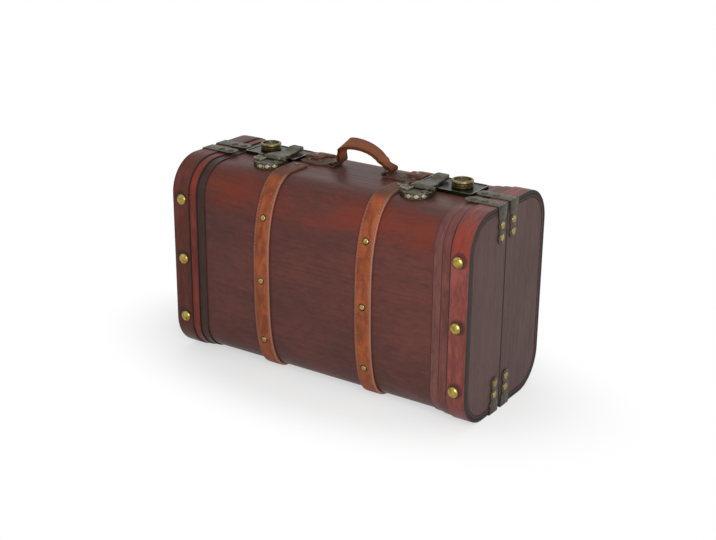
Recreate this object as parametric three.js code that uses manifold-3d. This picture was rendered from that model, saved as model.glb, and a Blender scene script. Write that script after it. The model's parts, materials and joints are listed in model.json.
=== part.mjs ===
// Vintage wooden case. A front leaf (the lid) and a back leaf meet at a parting plane,
// are hinged along their bottom edge and latched along the top, beside a leather handle.
// Millimetres. +X runs along the case, -Y is the front face, +Z is up.
// The origin lies under the middle of the case, on the floor that it stands on.

import * as THREE from "three";
import { mergeVertices } from "three/addons/utils/BufferGeometryUtils.js";
import Module from "manifold-3d";

const wasm = await Module();
wasm.setup();

// Case: outer sizes over the raised end bands
const case_length = 440;
const case_height = 265;
const lid_depth = 87;
const back_leaf_depth = 101;
const corner_radius = 46.5;
const parting_gap = 0.8;
const hinge_edge_relief = 4;
const fit = 0.3;
const overrun = 5;

// Bent plywood shells, end panels and linings. Under the bands a shell is held to their section.
// Between them it springs out by the bulge, and its corners are gentler superellipses there.
const sheet_bulge = 3.3;
const sheet_crown_setback = 7.5;
const sheet_widest_height = 149;
const sheet_upper_fullness = 2.25;
const sheet_lower_fullness = 3.3;
const sheet_strap_margin = 4;
const shell_wall = 3.2;
const end_panel_thickness = 6;
const end_panel_recess = 0.4;
const lining_thickness = 1.2;
const lining_clearance = 0.6;

// Stepped end bands: three strips laid beside each other, the outermost the thickest
const nailed_strip_width = 26;
const nailed_strip_rise = 4.5;
const red_strip_width = 11.5;
const red_strip_rise = 3;
const dark_strip_width = 12;
const dark_strip_rise = 1.5;
const strip_edge_round = 0.5;

// Domed nails along the nailed strips
const nail_radius = 7.2;
const nail_height = 4.6;
const nail_edge_distance = 15.5;
const nail_spacing = 81;

// Leather straps round both leaves
const strap_place_share = 0.449;
const strap_width = 22.5;
const strap_thickness = 3.2;
const strap_edge_round = 0.6;
const strap_end_relief = 1.5;

// Corner brackets beside the parting plane
const bracket_width = 20;
const bracket_thickness = 0.9;
const bracket_straight = 15;
const bracket_neck_width = 12;
const bracket_lobe_radius = 8.4;
const bracket_rivet_distance = 24;
const bracket_rivet_spacing = 15;
const bracket_rivet_radius = 3;
const bracket_rivet_height = 1.3;

// Butt hinges under the bottom edge
const hinge_width = 36;
const hinge_leaf_depth = 15;
const hinge_leaf_thickness = 1.2;
const knuckle_radius = 2.4;
const hinge_pin_radius = 1.3;
const hinge_pin_clearance = 0.25;

// Latches: the back leaf carries plate, knob and bolt, the front leaf catch and tongue
const latch_strap_gap = 0.8;
const plate_inboard_reach = 20;
const plate_band_gap = 0.9;
const plate_rear_distance = 48;
const plate_front_setback = 1.2;
const plate_height = 4.4;
const plate_wall = 1.2;
const plate_panel_thickness = 1;
const plate_rim_height = 0.7;
const plate_rim_width = 1.8;
const plate_corner_radius = 4;
const knob_distance = 25;
const knob_radius = 13.6;
const knob_height = 6.8;
const knob_dish_depth = 1.6;
const knob_rim_width = 2.6;
const knob_groove_depth = 0.9;
const knob_stem_radius = 2.5;
const knob_travel = 6;
const slot_clearance = 0.4;
const lug_side_clearance = 0.8;
const lug_swing_clearance = 1.6;
const bolt_width = 8;
const bolt_tip_width = 3;
const bolt_thickness = 1;
const bolt_lift = 1.3;
const lug_offset = 4;
const lug_thickness = 1.6;
const lug_length = 6.5;
const lug_window = 3.8;
const lug_floor_clearance = 0.4;

const catch_width = 43;
const catch_front_distance = 44;
const catch_height = 9.6;
const catch_edge_round = 0.8;
const catch_skirt = 3;
const catch_floor_height = 2.9;
const catch_rear_setback = 2.2;
const tongue_pivot_distance = 17;
const tongue_pivot_height = 8;
const tongue_base_width = 28;
const tongue_neck_width = 19;
const tongue_tip_radius = 6.5;
const tongue_reach = 42;
const tongue_barrel_radius = 4.5;
const tongue_thickness = 3.4;
const tongue_tip_lift = 3;
const tongue_tip_flat = 9;
const tongue_rise_length = 14;
const tongue_taper_length = 18;
const catch_pin_radius = 1.4;
const catch_boss_radius = 4;

// Handle, its rings and the leather tabs that hold them
const handle_distance = 24;
const tab_strap_setback = 1.5;
const tab_width = 30;
const tab_neck_width = 20;
const tab_neck_length = 14;
const tab_thickness = 3;
const tab_corner_radius = 3;
const ring_position = 38;
const ring_wire = 2.6;
const ring_bar_distance = 9.5;
const ring_side_clearance = 1;
const ring_edge_round = 0.6;
const ring_lean_degrees = 50;
const eye_clearance = 0.4;
const eye_wall = 1.6;
const handle_width = 27;
const handle_foot_width = 20;
const handle_foot_length = 13;
const handle_thickness = 4;
const handle_rise = 24;

// Facets
const corner_steps = 6;
const sheet_face_steps = 6;
const sheet_blend_steps = 3;
const lining_step_share = 0.5;
const small_corner_steps = 4;
const round_steps = 20;
const small_round_steps = 12;
const oval_steps = 18;
const nail_rings = 2;
const nail_steps = 12;
const rivet_rings = 2;
const rivet_steps = 6;

// Levels and planes that the sizes above give
const case_depth = lid_depth + back_leaf_depth;
const band_top = bracket_thickness + fit + case_height;
const band_bottom = bracket_thickness + fit;
const band_middle = (band_top + band_bottom) / 2;
const field_top = band_top - nailed_strip_rise;
const field_bottom = band_bottom + nailed_strip_rise;
const parting_row = lid_depth - case_depth / 2;
const hinge_level = field_bottom - fit - knuckle_radius;
const straight_reach = case_depth / 2 - corner_radius;
const crown_row = straight_reach - sheet_crown_setback;
const widest_level = band_bottom + sheet_widest_height;
const band_width = nailed_strip_width + red_strip_width + dark_strip_width;
const field_reach = case_length / 2 - band_width;
const strap_position = strap_place_share * field_reach;
const relaxed_reach = strap_position + strap_width / 2 + sheet_strap_margin;
const tab_reach = strap_position + strap_width / 2 - tab_strap_setback;
const latch_position = strap_position + strap_width / 2 + latch_strap_gap + catch_width / 2;
const plate_outboard_reach = field_reach - plate_band_gap - latch_position;
const hinge_position = (strap_position + strap_width / 2 + field_reach) / 2;
const plate_rear_row = parting_row + plate_rear_distance;
const knob_outboard_distance = (plate_outboard_reach + tongue_neck_width / 2) / 2;
const knob_row = parting_row + knob_distance;
const handle_row = parting_row + handle_distance;

const front = -1;
const back = 1;
const hands = { left: -1, right: 1 };

const axis_x = new THREE.Vector3(1, 0, 0);
const axis_y = new THREE.Vector3(0, 1, 0);
const axis_z = new THREE.Vector3(0, 0, 1);

// Finishes
const finishes = {
  mahogany: { color: 0x5c2c24, roughness: 0.38, metalness: 0 },
  cherry: { color: 0x8c3a30, roughness: 0.36, metalness: 0 },
  end_wood: { color: 0x55423f, roughness: 0.5, metalness: 0 },
  cloth: { color: 0x4a3a34, roughness: 0.95, metalness: 0 },
  leather: { color: 0x8a4d2f, roughness: 0.55, metalness: 0 },
  bronze: { color: 0x645f50, roughness: 0.42, metalness: 0.9 },
  brass: { color: 0xbeaa50, roughness: 0.3, metalness: 1 },
};

function make_mesh(name, geometry, finish) {
  const mesh = new THREE.Mesh(geometry, new THREE.MeshStandardMaterial(finishes[finish]));
  mesh.name = name;
  return mesh;
}

// Solids and booleans

function to_solid(geometry) {
  const bare = geometry.clone();
  bare.deleteAttribute("normal");
  bare.deleteAttribute("uv");
  const merged = mergeVertices(bare);
  const positions = new Float32Array(merged.attributes.position.array);
  const triangles = new Uint32Array(merged.index.array);
  return new wasm.Manifold(new wasm.Mesh({ numProp: 3, vertProperties: positions, triVerts: triangles }));
}

function to_geometry(solid) {
  const mesh = solid.getMesh();
  const geometry = new THREE.BufferGeometry();
  geometry.setAttribute("position", new THREE.BufferAttribute(new Float32Array(mesh.vertProperties), 3));
  geometry.setIndex(new THREE.BufferAttribute(new Uint32Array(mesh.triVerts), 1));
  geometry.computeVertexNormals();
  return geometry;
}

function join(...geometries) {
  return to_geometry(geometries.map(to_solid).reduce((sum, solid) => sum.add(solid)));
}

function cut(geometry, ...cutters) {
  const whole = to_solid(geometry);
  return to_geometry(cutters.map(to_solid).reduce((rest, cutter) => rest.subtract(cutter), whole));
}

function overlap_of(first, second) {
  return to_geometry(to_solid(first).intersect(to_solid(second)));
}

// A block between two corners
function block(low, high) {
  const size = new THREE.Vector3().subVectors(high, low);
  const middle = new THREE.Vector3().addVectors(low, high).multiplyScalar(0.5);
  return new THREE.BoxGeometry(size.x, size.y, size.z).translate(middle.x, middle.y, middle.z);
}

function vec(x, y, z) {
  return new THREE.Vector3(x, y, z);
}

// A round bar along X or Y between two places on that axis
function bar_along_x(radius, from_x, to_x, y, z, steps = round_steps) {
  return new THREE.CylinderGeometry(radius, radius, Math.abs(to_x - from_x), steps)
    .rotateZ(Math.PI / 2)
    .translate((from_x + to_x) / 2, y, z);
}

function bar_along_y(radius, from_y, to_y, x, z, steps = round_steps) {
  return new THREE.CylinderGeometry(radius, radius, Math.abs(to_y - from_y), steps)
    .translate(x, (from_y + to_y) / 2, z);
}

function bar_along_z(radius, from_z, to_z, x, y, steps = round_steps) {
  return new THREE.CylinderGeometry(radius, radius, Math.abs(to_z - from_z), steps)
    .rotateX(Math.PI / 2)
    .translate(x, y, (from_z + to_z) / 2);
}

// An outline drawn in a plane and extruded square to it, with its long edges eased by "ease".
// The outline's two axes and the extrusion axis become first, second and third.
function extruded(shape, depth, ease, first, second, third) {
  const geometry = new THREE.ExtrudeGeometry(shape, {
    depth: depth - 2 * ease,
    bevelEnabled: ease > 0,
    bevelThickness: ease,
    bevelSize: ease,
    bevelOffset: -ease,
    bevelSegments: 1,
    curveSegments: small_corner_steps,
  });
  return geometry.translate(0, 0, ease).applyMatrix4(new THREE.Matrix4().makeBasis(first, second, third));
}

// An outline in Y and Z, extruded from from_x to to_x
function extruded_along_x(shape, from_x, to_x, ease = 0) {
  return extruded(shape, to_x - from_x, ease, axis_y, axis_z, axis_x).translate(from_x, 0, 0);
}

// An outline in X and Y, extruded from from_z to to_z
function extruded_along_z(shape, from_z, to_z, ease = 0) {
  return extruded(shape, to_z - from_z, ease, axis_x, axis_y, axis_z).translate(0, 0, from_z);
}

// An outline in Z and X, extruded from from_y to to_y
function extruded_along_y(shape, from_y, to_y, ease = 0) {
  return extruded(shape, to_y - from_y, ease, axis_z, axis_x, axis_y).translate(0, from_y, 0);
}

function rounded_rectangle(low_x, low_y, high_x, high_y, radius) {
  const shape = new THREE.Shape();
  shape.moveTo(low_x + radius, low_y);
  shape.absarc(high_x - radius, low_y + radius, radius, -Math.PI / 2, 0);
  shape.absarc(high_x - radius, high_y - radius, radius, 0, Math.PI / 2);
  shape.absarc(low_x + radius, high_y - radius, radius, Math.PI / 2, Math.PI);
  shape.absarc(low_x + radius, low_y + radius, radius, Math.PI, Math.PI * 1.5);
  return shape;
}

// Case section. The points run from the top end at top_y round the outside of one leaf to the
// bottom end at bottom_y, at "inset" inside the outer face of the nailed strips.
function leaf_line(side, inset, top_y, bottom_y, steps = corner_steps) {
  const radius = corner_radius - inset;
  const points = [new THREE.Vector2(top_y, band_top - inset)];
  for (const upward of [1, -1]) {
    const middle_z = band_middle + upward * (case_height / 2 - corner_radius);
    for (let step = 0; step <= steps; step += 1) {
      const turn = (Math.PI / 2) * (step / steps);
      const along = upward > 0 ? turn : Math.PI / 2 - turn;
      const y = side * (straight_reach + radius * Math.sin(along));
      points.push(new THREE.Vector2(y, middle_z + upward * radius * Math.cos(along)));
    }
  }
  points.push(new THREE.Vector2(bottom_y, band_bottom + inset));
  return points;
}

// The strip between two insets, from the top end round to the bottom end
function leaf_strip(side, outer_inset, inner_inset, top_y, bottom_y) {
  const outer = leaf_line(side, outer_inset, top_y, bottom_y);
  const inner = leaf_line(side, inner_inset, top_y, bottom_y).reverse();
  return new THREE.Shape([...outer, ...inner]);
}

function leaf_face(side, inset, end_y) {
  return new THREE.Shape(leaf_line(side, inset, end_y, end_y));
}

function parting_y(side, setback = 0) {
  return parting_row + side * (parting_gap / 2 + setback);
}

// The section of the bent sheet, with points on its flats too. "ease_share" is 0 where the
// bands hold it and 1 where it is relaxed. "step_share" thins out the points, and those that
// stay keep their places.
function sheet_line(side, ease_share, inset, top_y, bottom_y, step_share = 1) {
  const steps = corner_steps * step_share;
  const face_steps = sheet_face_steps * step_share;
  const held = leaf_line(side, inset, top_y, bottom_y, steps);
  const face_top = held[steps + 1];
  const face_bottom = held[steps + 2];
  const points = [held[0], new THREE.Vector2(side * crown_row, held[0].y), ...held.slice(1, steps + 2)];
  for (let step = 1; step < face_steps; step += 1) {
    points.push(face_top.clone().lerp(face_bottom, step / face_steps));
  }
  points.push(...held.slice(steps + 2, -1), new THREE.Vector2(side * crown_row, held.at(-1).y), held.at(-1));
  return points.map((point) => eased_point(side, ease_share, inset, point));
}

// A point of the held section, moved by the share of its way to the superellipse of the relaxed
// sheet, along the line from that curve's centre
function eased_point(side, ease_share, inset, point) {
  const outward = side * point.x - crown_row;
  const upward = point.y - widest_level;
  const depth = case_depth / 2 - inset + sheet_bulge - crown_row;
  const reach = (upward > 0 ? band_top - widest_level : widest_level - band_bottom) - inset;
  const fullness = upward > 0 ? sheet_upper_fullness : sheet_lower_fullness;
  if (outward <= 0) {
    return point;
  }
  const nearness = (outward / depth) ** fullness + Math.abs(upward / reach) ** fullness;
  const stretch = THREE.MathUtils.lerp(1, nearness ** (-1 / fullness), ease_share);
  return new THREE.Vector2(side * (crown_row + outward * stretch), widest_level + upward * stretch);
}

// The strip between two insets of the relaxed section, where the straps lie
function relaxed_strip(side, outer_inset, inner_inset, top_y, bottom_y) {
  const outer = sheet_line(side, 1, outer_inset, top_y, bottom_y);
  const inner = sheet_line(side, 1, inner_inset, top_y, bottom_y).reverse();
  return new THREE.Shape([...outer, ...inner]);
}

// The space inside one leaf's sheet at "inset", lofted through its sections along X
function sheet_body(side, inset, end_x, end_y, step_share = 1) {
  const stations = [[-end_x, 0]];
  for (let step = 0; step <= sheet_blend_steps; step += 1) {
    const along = step / sheet_blend_steps;
    const x = THREE.MathUtils.lerp(field_reach, relaxed_reach, along);
    stations.push([-x, THREE.MathUtils.smoothstep(along, 0, 1)]);
  }
  stations.push(...stations.map(([x, ease_share]) => [-x, ease_share]).reverse());
  return loft(stations.map(([x, ease_share]) => {
    const line = sheet_line(side, ease_share, inset, end_y, end_y, step_share);
    return line.map((point) => vec(x, point.x, point.y));
  }));
}

// A closed body through outlines of as many points each, set one after another along X. Each
// end is closed by a fan about its middle.
function loft(outlines) {
  const flat = outlines[0].map((point) => new THREE.Vector2(point.y, point.z));
  const rings = THREE.ShapeUtils.isClockWise(flat) ? outlines.map((ring) => ring.toReversed()) : outlines;
  const count = flat.length;
  const last = (rings.length - 1) * count;
  const ends = [rings[0], rings.at(-1)].map(
    (ring) => ring.reduce((sum, point) => sum.add(point), vec(0, 0, 0)).divideScalar(count),
  );
  const triangles = [];
  for (let index = 0; index < count; index += 1) {
    const next = (index + 1) % count;
    triangles.push(last + count, next, index);
    triangles.push(last + count + 1, last + index, last + next);
    for (let row = 0; row < last; row += count) {
      triangles.push(row + index, row + next, row + count + index);
      triangles.push(row + next, row + count + next, row + count + index);
    }
  }
  const geometry = new THREE.BufferGeometry().setFromPoints([...rings.flat(), ...ends]);
  return geometry.setIndex(triangles);
}

const shell_inset = nailed_strip_rise;
const seat_inset = nailed_strip_rise - fit;
const end_panel_inset = shell_inset + shell_wall + fit;
const end_panel_face = case_length / 2 - end_panel_recess;
const lining_inset = shell_inset + shell_wall + lining_clearance;
const lining_end = end_panel_face - end_panel_thickness - fit;

// Wooden pieces of one leaf

function make_shell(side) {
  const outer = sheet_body(side, shell_inset, case_length / 2, parting_y(side));
  const room_end = case_length / 2 + overrun;
  return cut(outer, sheet_body(side, shell_inset + shell_wall, room_end, parting_y(side, -overrun)));
}

function make_end_panel(side, hand) {
  const panel = leaf_face(side, end_panel_inset, parting_y(side));
  const outer = hand * end_panel_face;
  const inner = hand * (end_panel_face - end_panel_thickness);
  return extruded_along_x(panel, Math.min(outer, inner), Math.max(outer, inner));
}

function make_lining(side) {
  const outer = sheet_body(side, lining_inset, lining_end, parting_y(side), lining_step_share);
  const room_inset = lining_inset + lining_thickness;
  const room_end = lining_end - lining_thickness;
  return cut(outer, sheet_body(side, room_inset, room_end, parting_y(side, -overrun), lining_step_share));
}

// The three strips of a band lie on the shell and overlap towards the case end
function make_band(side, hand) {
  const top_y = parting_y(side);
  const bottom_y = parting_y(side, hinge_edge_relief);
  const end = case_length / 2;
  const widths = [
    nailed_strip_width,
    nailed_strip_width + red_strip_width,
    band_width,
  ];
  const rises = [nailed_strip_rise, red_strip_rise, dark_strip_rise];
  const strips = widths.map((width, index) => {
    const strip = leaf_strip(side, nailed_strip_rise - rises[index], seat_inset, top_y, bottom_y);
    const edges = [hand * end, hand * (end - width)];
    const ease = index > 0 ? 0 : strip_edge_round;
    return extruded_along_x(strip, Math.min(...edges), Math.max(...edges), ease);
  });
  return join(...strips);
}

function make_nail(side, hand, row) {
  const nail = make_dome(nail_radius, nail_height, fit, nail_rings, nail_steps);
  nail.rotateX(side > 0 ? 0 : Math.PI);
  const x = hand * (case_length / 2 - nail_edge_distance);
  return nail.translate(x, side * (case_depth / 2 + fit), band_middle + row * nail_spacing);
}

// A domed head on a short upright rim, about the Y axis
function make_dome(radius, height, rim, rings, steps) {
  const profile = [new THREE.Vector2(0, 0), new THREE.Vector2(radius, 0)];
  for (let ring = 0; ring < rings; ring += 1) {
    const turn = (Math.PI / 2) * (ring / rings);
    profile.push(new THREE.Vector2(radius * Math.cos(turn), rim + (height - rim) * Math.sin(turn)));
  }
  profile.push(new THREE.Vector2(0, height));
  return new THREE.LatheGeometry(profile, steps);
}

// Leather straps

function make_front_strap(hand) {
  const outer_inset = seat_inset - strap_thickness;
  const top_y = parting_y(front, strap_end_relief);
  const strip = relaxed_strip(front, outer_inset, seat_inset, top_y, parting_y(front, hinge_edge_relief));
  const middle = hand * strap_position;
  return extruded_along_x(strip, middle - strap_width / 2, middle + strap_width / 2, strap_edge_round);
}

// The back strap runs up to the handle tab, steps up over its edge, ends on it and holds it down
function make_back_strap(hand) {
  const outer_inset = seat_inset - strap_thickness;
  const bottom_y = parting_y(back, hinge_edge_relief);
  const outline = relaxed_strip(back, outer_inset, seat_inset, parting_y(back), bottom_y);
  const low_x = hand * strap_position - strap_width / 2;
  const high_x = hand * strap_position + strap_width / 2;
  const strip = extruded_along_x(outline, low_x, high_x, strap_edge_round);
  const riser_y = handle_row + tab_width / 2 + fit;
  const seat = band_top - seat_inset;
  const before = block(
    vec(low_x - overrun, parting_row - overrun, band_middle),
    vec(high_x + overrun, riser_y, seat + strap_thickness + overrun),
  );
  const bottom = seat + tab_thickness + fit;
  const step = new THREE.Shape();
  step.moveTo(handle_row + fit, bottom);
  step.lineTo(riser_y, bottom);
  step.lineTo(riser_y, seat);
  step.lineTo(riser_y + strap_thickness, seat);
  step.lineTo(riser_y + strap_thickness, bottom);
  step.lineTo(riser_y, bottom + strap_thickness);
  step.lineTo(handle_row + fit, bottom + strap_thickness);
  return join(cut(strip, before), extruded_along_x(step, low_x, high_x, strap_edge_round));
}

// Corner brackets. The leg on the band is a plain strip. The leg on the case end has a straight
// root, then a waisted end with a lobe round each rivet. Both end round.
// A leg is drawn along +X from the corner and lies on z = 0.
function make_bracket_leg(waisted, with_rivets) {
  const half = bracket_width / 2;
  const rivet_places = [bracket_rivet_distance, bracket_rivet_distance + bracket_rivet_spacing];
  const root = waisted ? bracket_straight : rivet_places[1];
  const end_radius = waisted ? bracket_lobe_radius : half;
  const lobe_places = waisted ? rivet_places : [rivet_places[1]];
  const parts = [block(vec(-bracket_thickness, -half, 0), vec(root, half, bracket_thickness))];
  if (waisted) {
    const neck = bracket_neck_width / 2;
    parts.push(block(vec(0, -neck, 0), vec(rivet_places[1], neck, bracket_thickness)));
  }
  for (const place of lobe_places) {
    parts.push(bar_along_z(end_radius, 0, bracket_thickness, place, 0, small_round_steps));
  }
  for (const place of rivet_places) {
    if (with_rivets) {
      const head_height = bracket_thickness + bracket_rivet_height;
      const rivet = make_dome(bracket_rivet_radius, head_height, bracket_thickness, rivet_rings, rivet_steps);
      parts.push(rivet.rotateX(Math.PI / 2).translate(place, 0, 0));
    }
  }
  return join(...parts);
}

// One leg lies on the nailed strip, the other on the case end. Both start at the corner.
function make_bracket(side, hand, upward) {
  const flat_leg = make_bracket_leg(false, upward > 0);
  flat_leg.applyMatrix4(new THREE.Matrix4().makeBasis(vec(-1, 0, 0), vec(0, -1, 0), axis_z));
  const end_leg = make_bracket_leg(true, true);
  end_leg.applyMatrix4(new THREE.Matrix4().makeBasis(vec(0, 0, -1), axis_y, axis_x));
  const bracket = join(flat_leg, end_leg);
  bracket.translate(case_length / 2 + fit, 0, 0);
  if (upward < 0) {
    bracket.rotateX(Math.PI);
  }
  if (hand < 0) {
    bracket.rotateZ(Math.PI);
  }
  const y = parting_row + side * (hinge_edge_relief + bracket_width / 2);
  return bracket.translate(0, y, upward > 0 ? band_top + fit : band_bottom - fit);
}

// Butt hinges. The front leaf of a hinge has the middle knuckle, the back leaf the outer two.

function make_hinge_leaf(side, hand) {
  const middle = hand * hinge_position;
  const low_x = middle - hinge_width / 2;
  const third = hinge_width / 3;
  const plate_top = field_bottom - fit;
  const plate_bottom = plate_top - hinge_leaf_thickness;
  const near = parting_row + side * (knuckle_radius + fit);
  const far = parting_row + side * hinge_leaf_depth;
  const plate = block(
    vec(low_x, Math.min(near, far), plate_bottom),
    vec(low_x + hinge_width, Math.max(near, far), plate_top),
  );
  const spans = side < 0 ? [[1, 2]] : [[0, 1], [2, 3]];
  const parts = [plate];
  for (const [from, to] of spans) {
    const from_x = low_x + third * from + (from > 0 ? fit / 2 : 0);
    const to_x = low_x + third * to - (to < 3 ? fit / 2 : 0);
    parts.push(bar_along_x(knuckle_radius, from_x, to_x, parting_row, hinge_level, small_round_steps));
    parts.push(block(
      vec(from_x, Math.min(parting_row, near + side * fit), plate_bottom),
      vec(to_x, Math.max(parting_row, near + side * fit), plate_top),
    ));
  }
  const bore = bar_along_x(
    hinge_pin_radius + hinge_pin_clearance,
    low_x - overrun,
    low_x + hinge_width + overrun,
    parting_row,
    hinge_level,
    small_round_steps,
  );
  return cut(join(...parts), bore);
}

function make_hinge_pin(hand) {
  const middle = hand * hinge_position;
  const from_x = middle - hinge_width / 2;
  const to_x = middle + hinge_width / 2;
  return bar_along_x(hinge_pin_radius, from_x, to_x, parting_row, hinge_level, small_round_steps);
}

// Latch. Everything is drawn for the right hand about the latch's own middle, with its
// outboard side towards +X and z = 0 on the top of the field, and then set on its hand.

const plate_front_row = parting_row + parting_gap / 2 + plate_front_setback;
const plate_top = fit + plate_height;
const plate_panel_top = plate_top - plate_rim_height;
const plate_panel_bottom = plate_panel_top - plate_panel_thickness;
const lug_row = knob_row;
const bolt_bottom = fit + bolt_lift;
const bolt_top = bolt_bottom + bolt_thickness;
const knob_base = plate_panel_top + fit;

function set_latch(geometry, hand) {
  return geometry.translate(hand * latch_position, 0, field_top);
}

function outboard_block(hand, low, high) {
  const ends = [hand * low.x, hand * high.x];
  return block(vec(Math.min(...ends), low.y, low.z), vec(Math.max(...ends), high.y, high.z));
}

function outboard_rectangle(hand, low_x, low_y, high_x, high_y, radius) {
  const ends = [hand * low_x, hand * high_x];
  return rounded_rectangle(Math.min(...ends), low_y, Math.max(...ends), high_y, radius);
}

function make_latch_plate(hand) {
  const low_x = -plate_inboard_reach;
  const high_x = plate_outboard_reach;
  const body = extruded_along_z(
    outboard_rectangle(hand, low_x, plate_front_row, high_x, plate_rear_row, plate_corner_radius),
    fit,
    plate_top,
  );
  const inside = outboard_block(
    hand,
    vec(low_x + plate_wall, plate_front_row + plate_wall, fit - overrun),
    vec(high_x - plate_wall, plate_rear_row - plate_wall, plate_panel_bottom),
  );
  const pan = extruded_along_z(
    outboard_rectangle(
      hand,
      low_x + plate_rim_width,
      plate_front_row + plate_rim_width,
      high_x - plate_rim_width,
      plate_rear_row - plate_rim_width,
      plate_corner_radius - plate_rim_width,
    ),
    plate_panel_top,
    plate_top + overrun,
  );
  const slot_half = knob_stem_radius + slot_clearance;
  const stem_slot = outboard_block(
    hand,
    vec(knob_outboard_distance - knob_travel - slot_half, knob_row - slot_half, fit - overrun),
    vec(knob_outboard_distance + slot_half, knob_row + slot_half, plate_top + overrun),
  );
  const lug_half = lug_thickness / 2 + lug_side_clearance;
  const lug_slot = outboard_block(
    hand,
    vec(lug_offset - lug_half, plate_front_row - overrun, fit - overrun),
    vec(lug_offset + lug_half, lug_row + lug_length / 2 + lug_swing_clearance, plate_top + overrun),
  );
  return set_latch(cut(body, inside, pan, stem_slot, lug_slot), hand);
}

function make_knob(hand) {
  const top = knob_base + knob_height;
  const waist = knob_base + knob_height / 2;
  const profile = [
    new THREE.Vector2(0, bolt_bottom),
    new THREE.Vector2(knob_stem_radius, bolt_bottom),
    new THREE.Vector2(knob_stem_radius, knob_base),
    new THREE.Vector2(knob_radius - knob_groove_depth, knob_base),
    new THREE.Vector2(knob_radius, knob_base + knob_groove_depth),
    new THREE.Vector2(knob_radius, waist - knob_groove_depth),
    new THREE.Vector2(knob_radius - knob_groove_depth, waist),
    new THREE.Vector2(knob_radius, waist + knob_groove_depth),
    new THREE.Vector2(knob_radius, top - knob_groove_depth),
    new THREE.Vector2(knob_radius - knob_groove_depth, top),
    new THREE.Vector2(knob_radius - knob_rim_width, top),
    new THREE.Vector2(knob_radius - knob_rim_width - knob_groove_depth, top - knob_dish_depth),
    new THREE.Vector2(0, top - knob_dish_depth),
  ];
  const knob = new THREE.LatheGeometry(profile, round_steps).rotateX(Math.PI / 2);
  return set_latch(knob.translate(hand * knob_outboard_distance, knob_row, 0), hand);
}

function make_bolt(hand) {
  const tip_start = lug_offset + lug_thickness / 2 + slot_clearance;
  const shoulder = tip_start + knob_travel + slot_clearance;
  const end = knob_outboard_distance + bolt_width / 2;
  const body = outboard_block(
    hand,
    vec(shoulder, knob_row - bolt_width / 2, bolt_bottom),
    vec(end, knob_row + bolt_width / 2, bolt_top),
  );
  const tip = outboard_block(
    hand,
    vec(tip_start, knob_row - bolt_tip_width / 2, bolt_bottom),
    vec(end - bolt_width / 2, knob_row + bolt_tip_width / 2, bolt_top),
  );
  const stem_hole = bar_along_z(
    knob_stem_radius + fit,
    bolt_bottom - overrun,
    bolt_top + overrun,
    hand * knob_outboard_distance,
    knob_row,
  );
  return set_latch(cut(join(body, tip), stem_hole), hand);
}

const catch_rear_row = parting_row - parting_gap / 2 - catch_rear_setback;
const catch_front_row = parting_row - catch_front_distance;
const pivot_y = parting_row - tongue_pivot_distance;
const tongue_tip_row = parting_row + tongue_reach;
const pocket_half = tongue_base_width / 2 + fit;

// The catch is oval, and its underside follows the sheet. Its pocket is open to the rear and
// holds the tongue's barrel.
function make_catch(hand) {
  const half = catch_width / 2;
  const middle_row = (catch_front_row + catch_rear_row) / 2;
  const oval = new THREE.EllipseCurve(0, middle_row, half, catch_rear_row - middle_row);
  const shape = new THREE.Shape(oval.getPoints(oval_steps).slice(1));
  const body = extruded_along_z(shape, -catch_skirt, catch_height, catch_edge_round);
  const bosses = bar_along_x(catch_boss_radius, -half, half, pivot_y, tongue_pivot_height, small_round_steps);
  const barrel_room = tongue_barrel_radius + fit;
  const pocket = block(
    vec(-pocket_half, pivot_y - barrel_room, catch_floor_height),
    vec(pocket_half, catch_rear_row + overrun, tongue_pivot_height + barrel_room + overrun),
  );
  const bore = bar_along_x(
    catch_pin_radius + fit / 2,
    -half - overrun,
    half + overrun,
    pivot_y,
    tongue_pivot_height,
    small_round_steps,
  );
  const under = sheet_body(front, shell_inset - fit, case_length / 2, parting_y(front, -overrun));
  return cut(set_latch(cut(join(body, bosses), pocket, bore), hand), under);
}

// The tongue's side outline: a barrel round the pin, an arm over the plate and a raised tip
function make_tongue(hand) {
  const arm_bottom = plate_top + slot_clearance;
  const arm_top = arm_bottom + tongue_thickness;
  const rise_end = tongue_tip_row - tongue_tip_flat;
  const rise_start = rise_end - tongue_rise_length;
  const side = new THREE.Shape();
  side.moveTo(pivot_y, arm_bottom);
  side.lineTo(rise_start, arm_bottom);
  side.lineTo(rise_end, arm_bottom + tongue_tip_lift);
  side.lineTo(tongue_tip_row - tongue_thickness / 2, arm_bottom + tongue_tip_lift);
  side.absarc(
    tongue_tip_row - tongue_thickness / 2,
    arm_bottom + tongue_tip_lift + tongue_thickness / 2,
    tongue_thickness / 2,
    -Math.PI / 2,
    Math.PI / 2,
  );
  side.lineTo(rise_end, arm_top + tongue_tip_lift);
  side.lineTo(rise_start, arm_top);
  side.lineTo(pivot_y, arm_top + (tongue_pivot_height + tongue_barrel_radius - arm_top) / 2);
  const half = tongue_base_width / 2;
  const arm = extruded_along_x(side, -half, half);
  const barrel = bar_along_x(tongue_barrel_radius, -half, half, pivot_y, tongue_pivot_height);
  const plan = make_tongue_plan();
  const lug = make_lug(hand, arm_bottom);
  const bore = bar_along_x(
    catch_pin_radius + fit / 2,
    -half - overrun,
    half + overrun,
    pivot_y,
    tongue_pivot_height,
    small_round_steps,
  );
  return set_latch(cut(join(overlap_of(join(arm, barrel), plan), lug), bore), hand);
}

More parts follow.
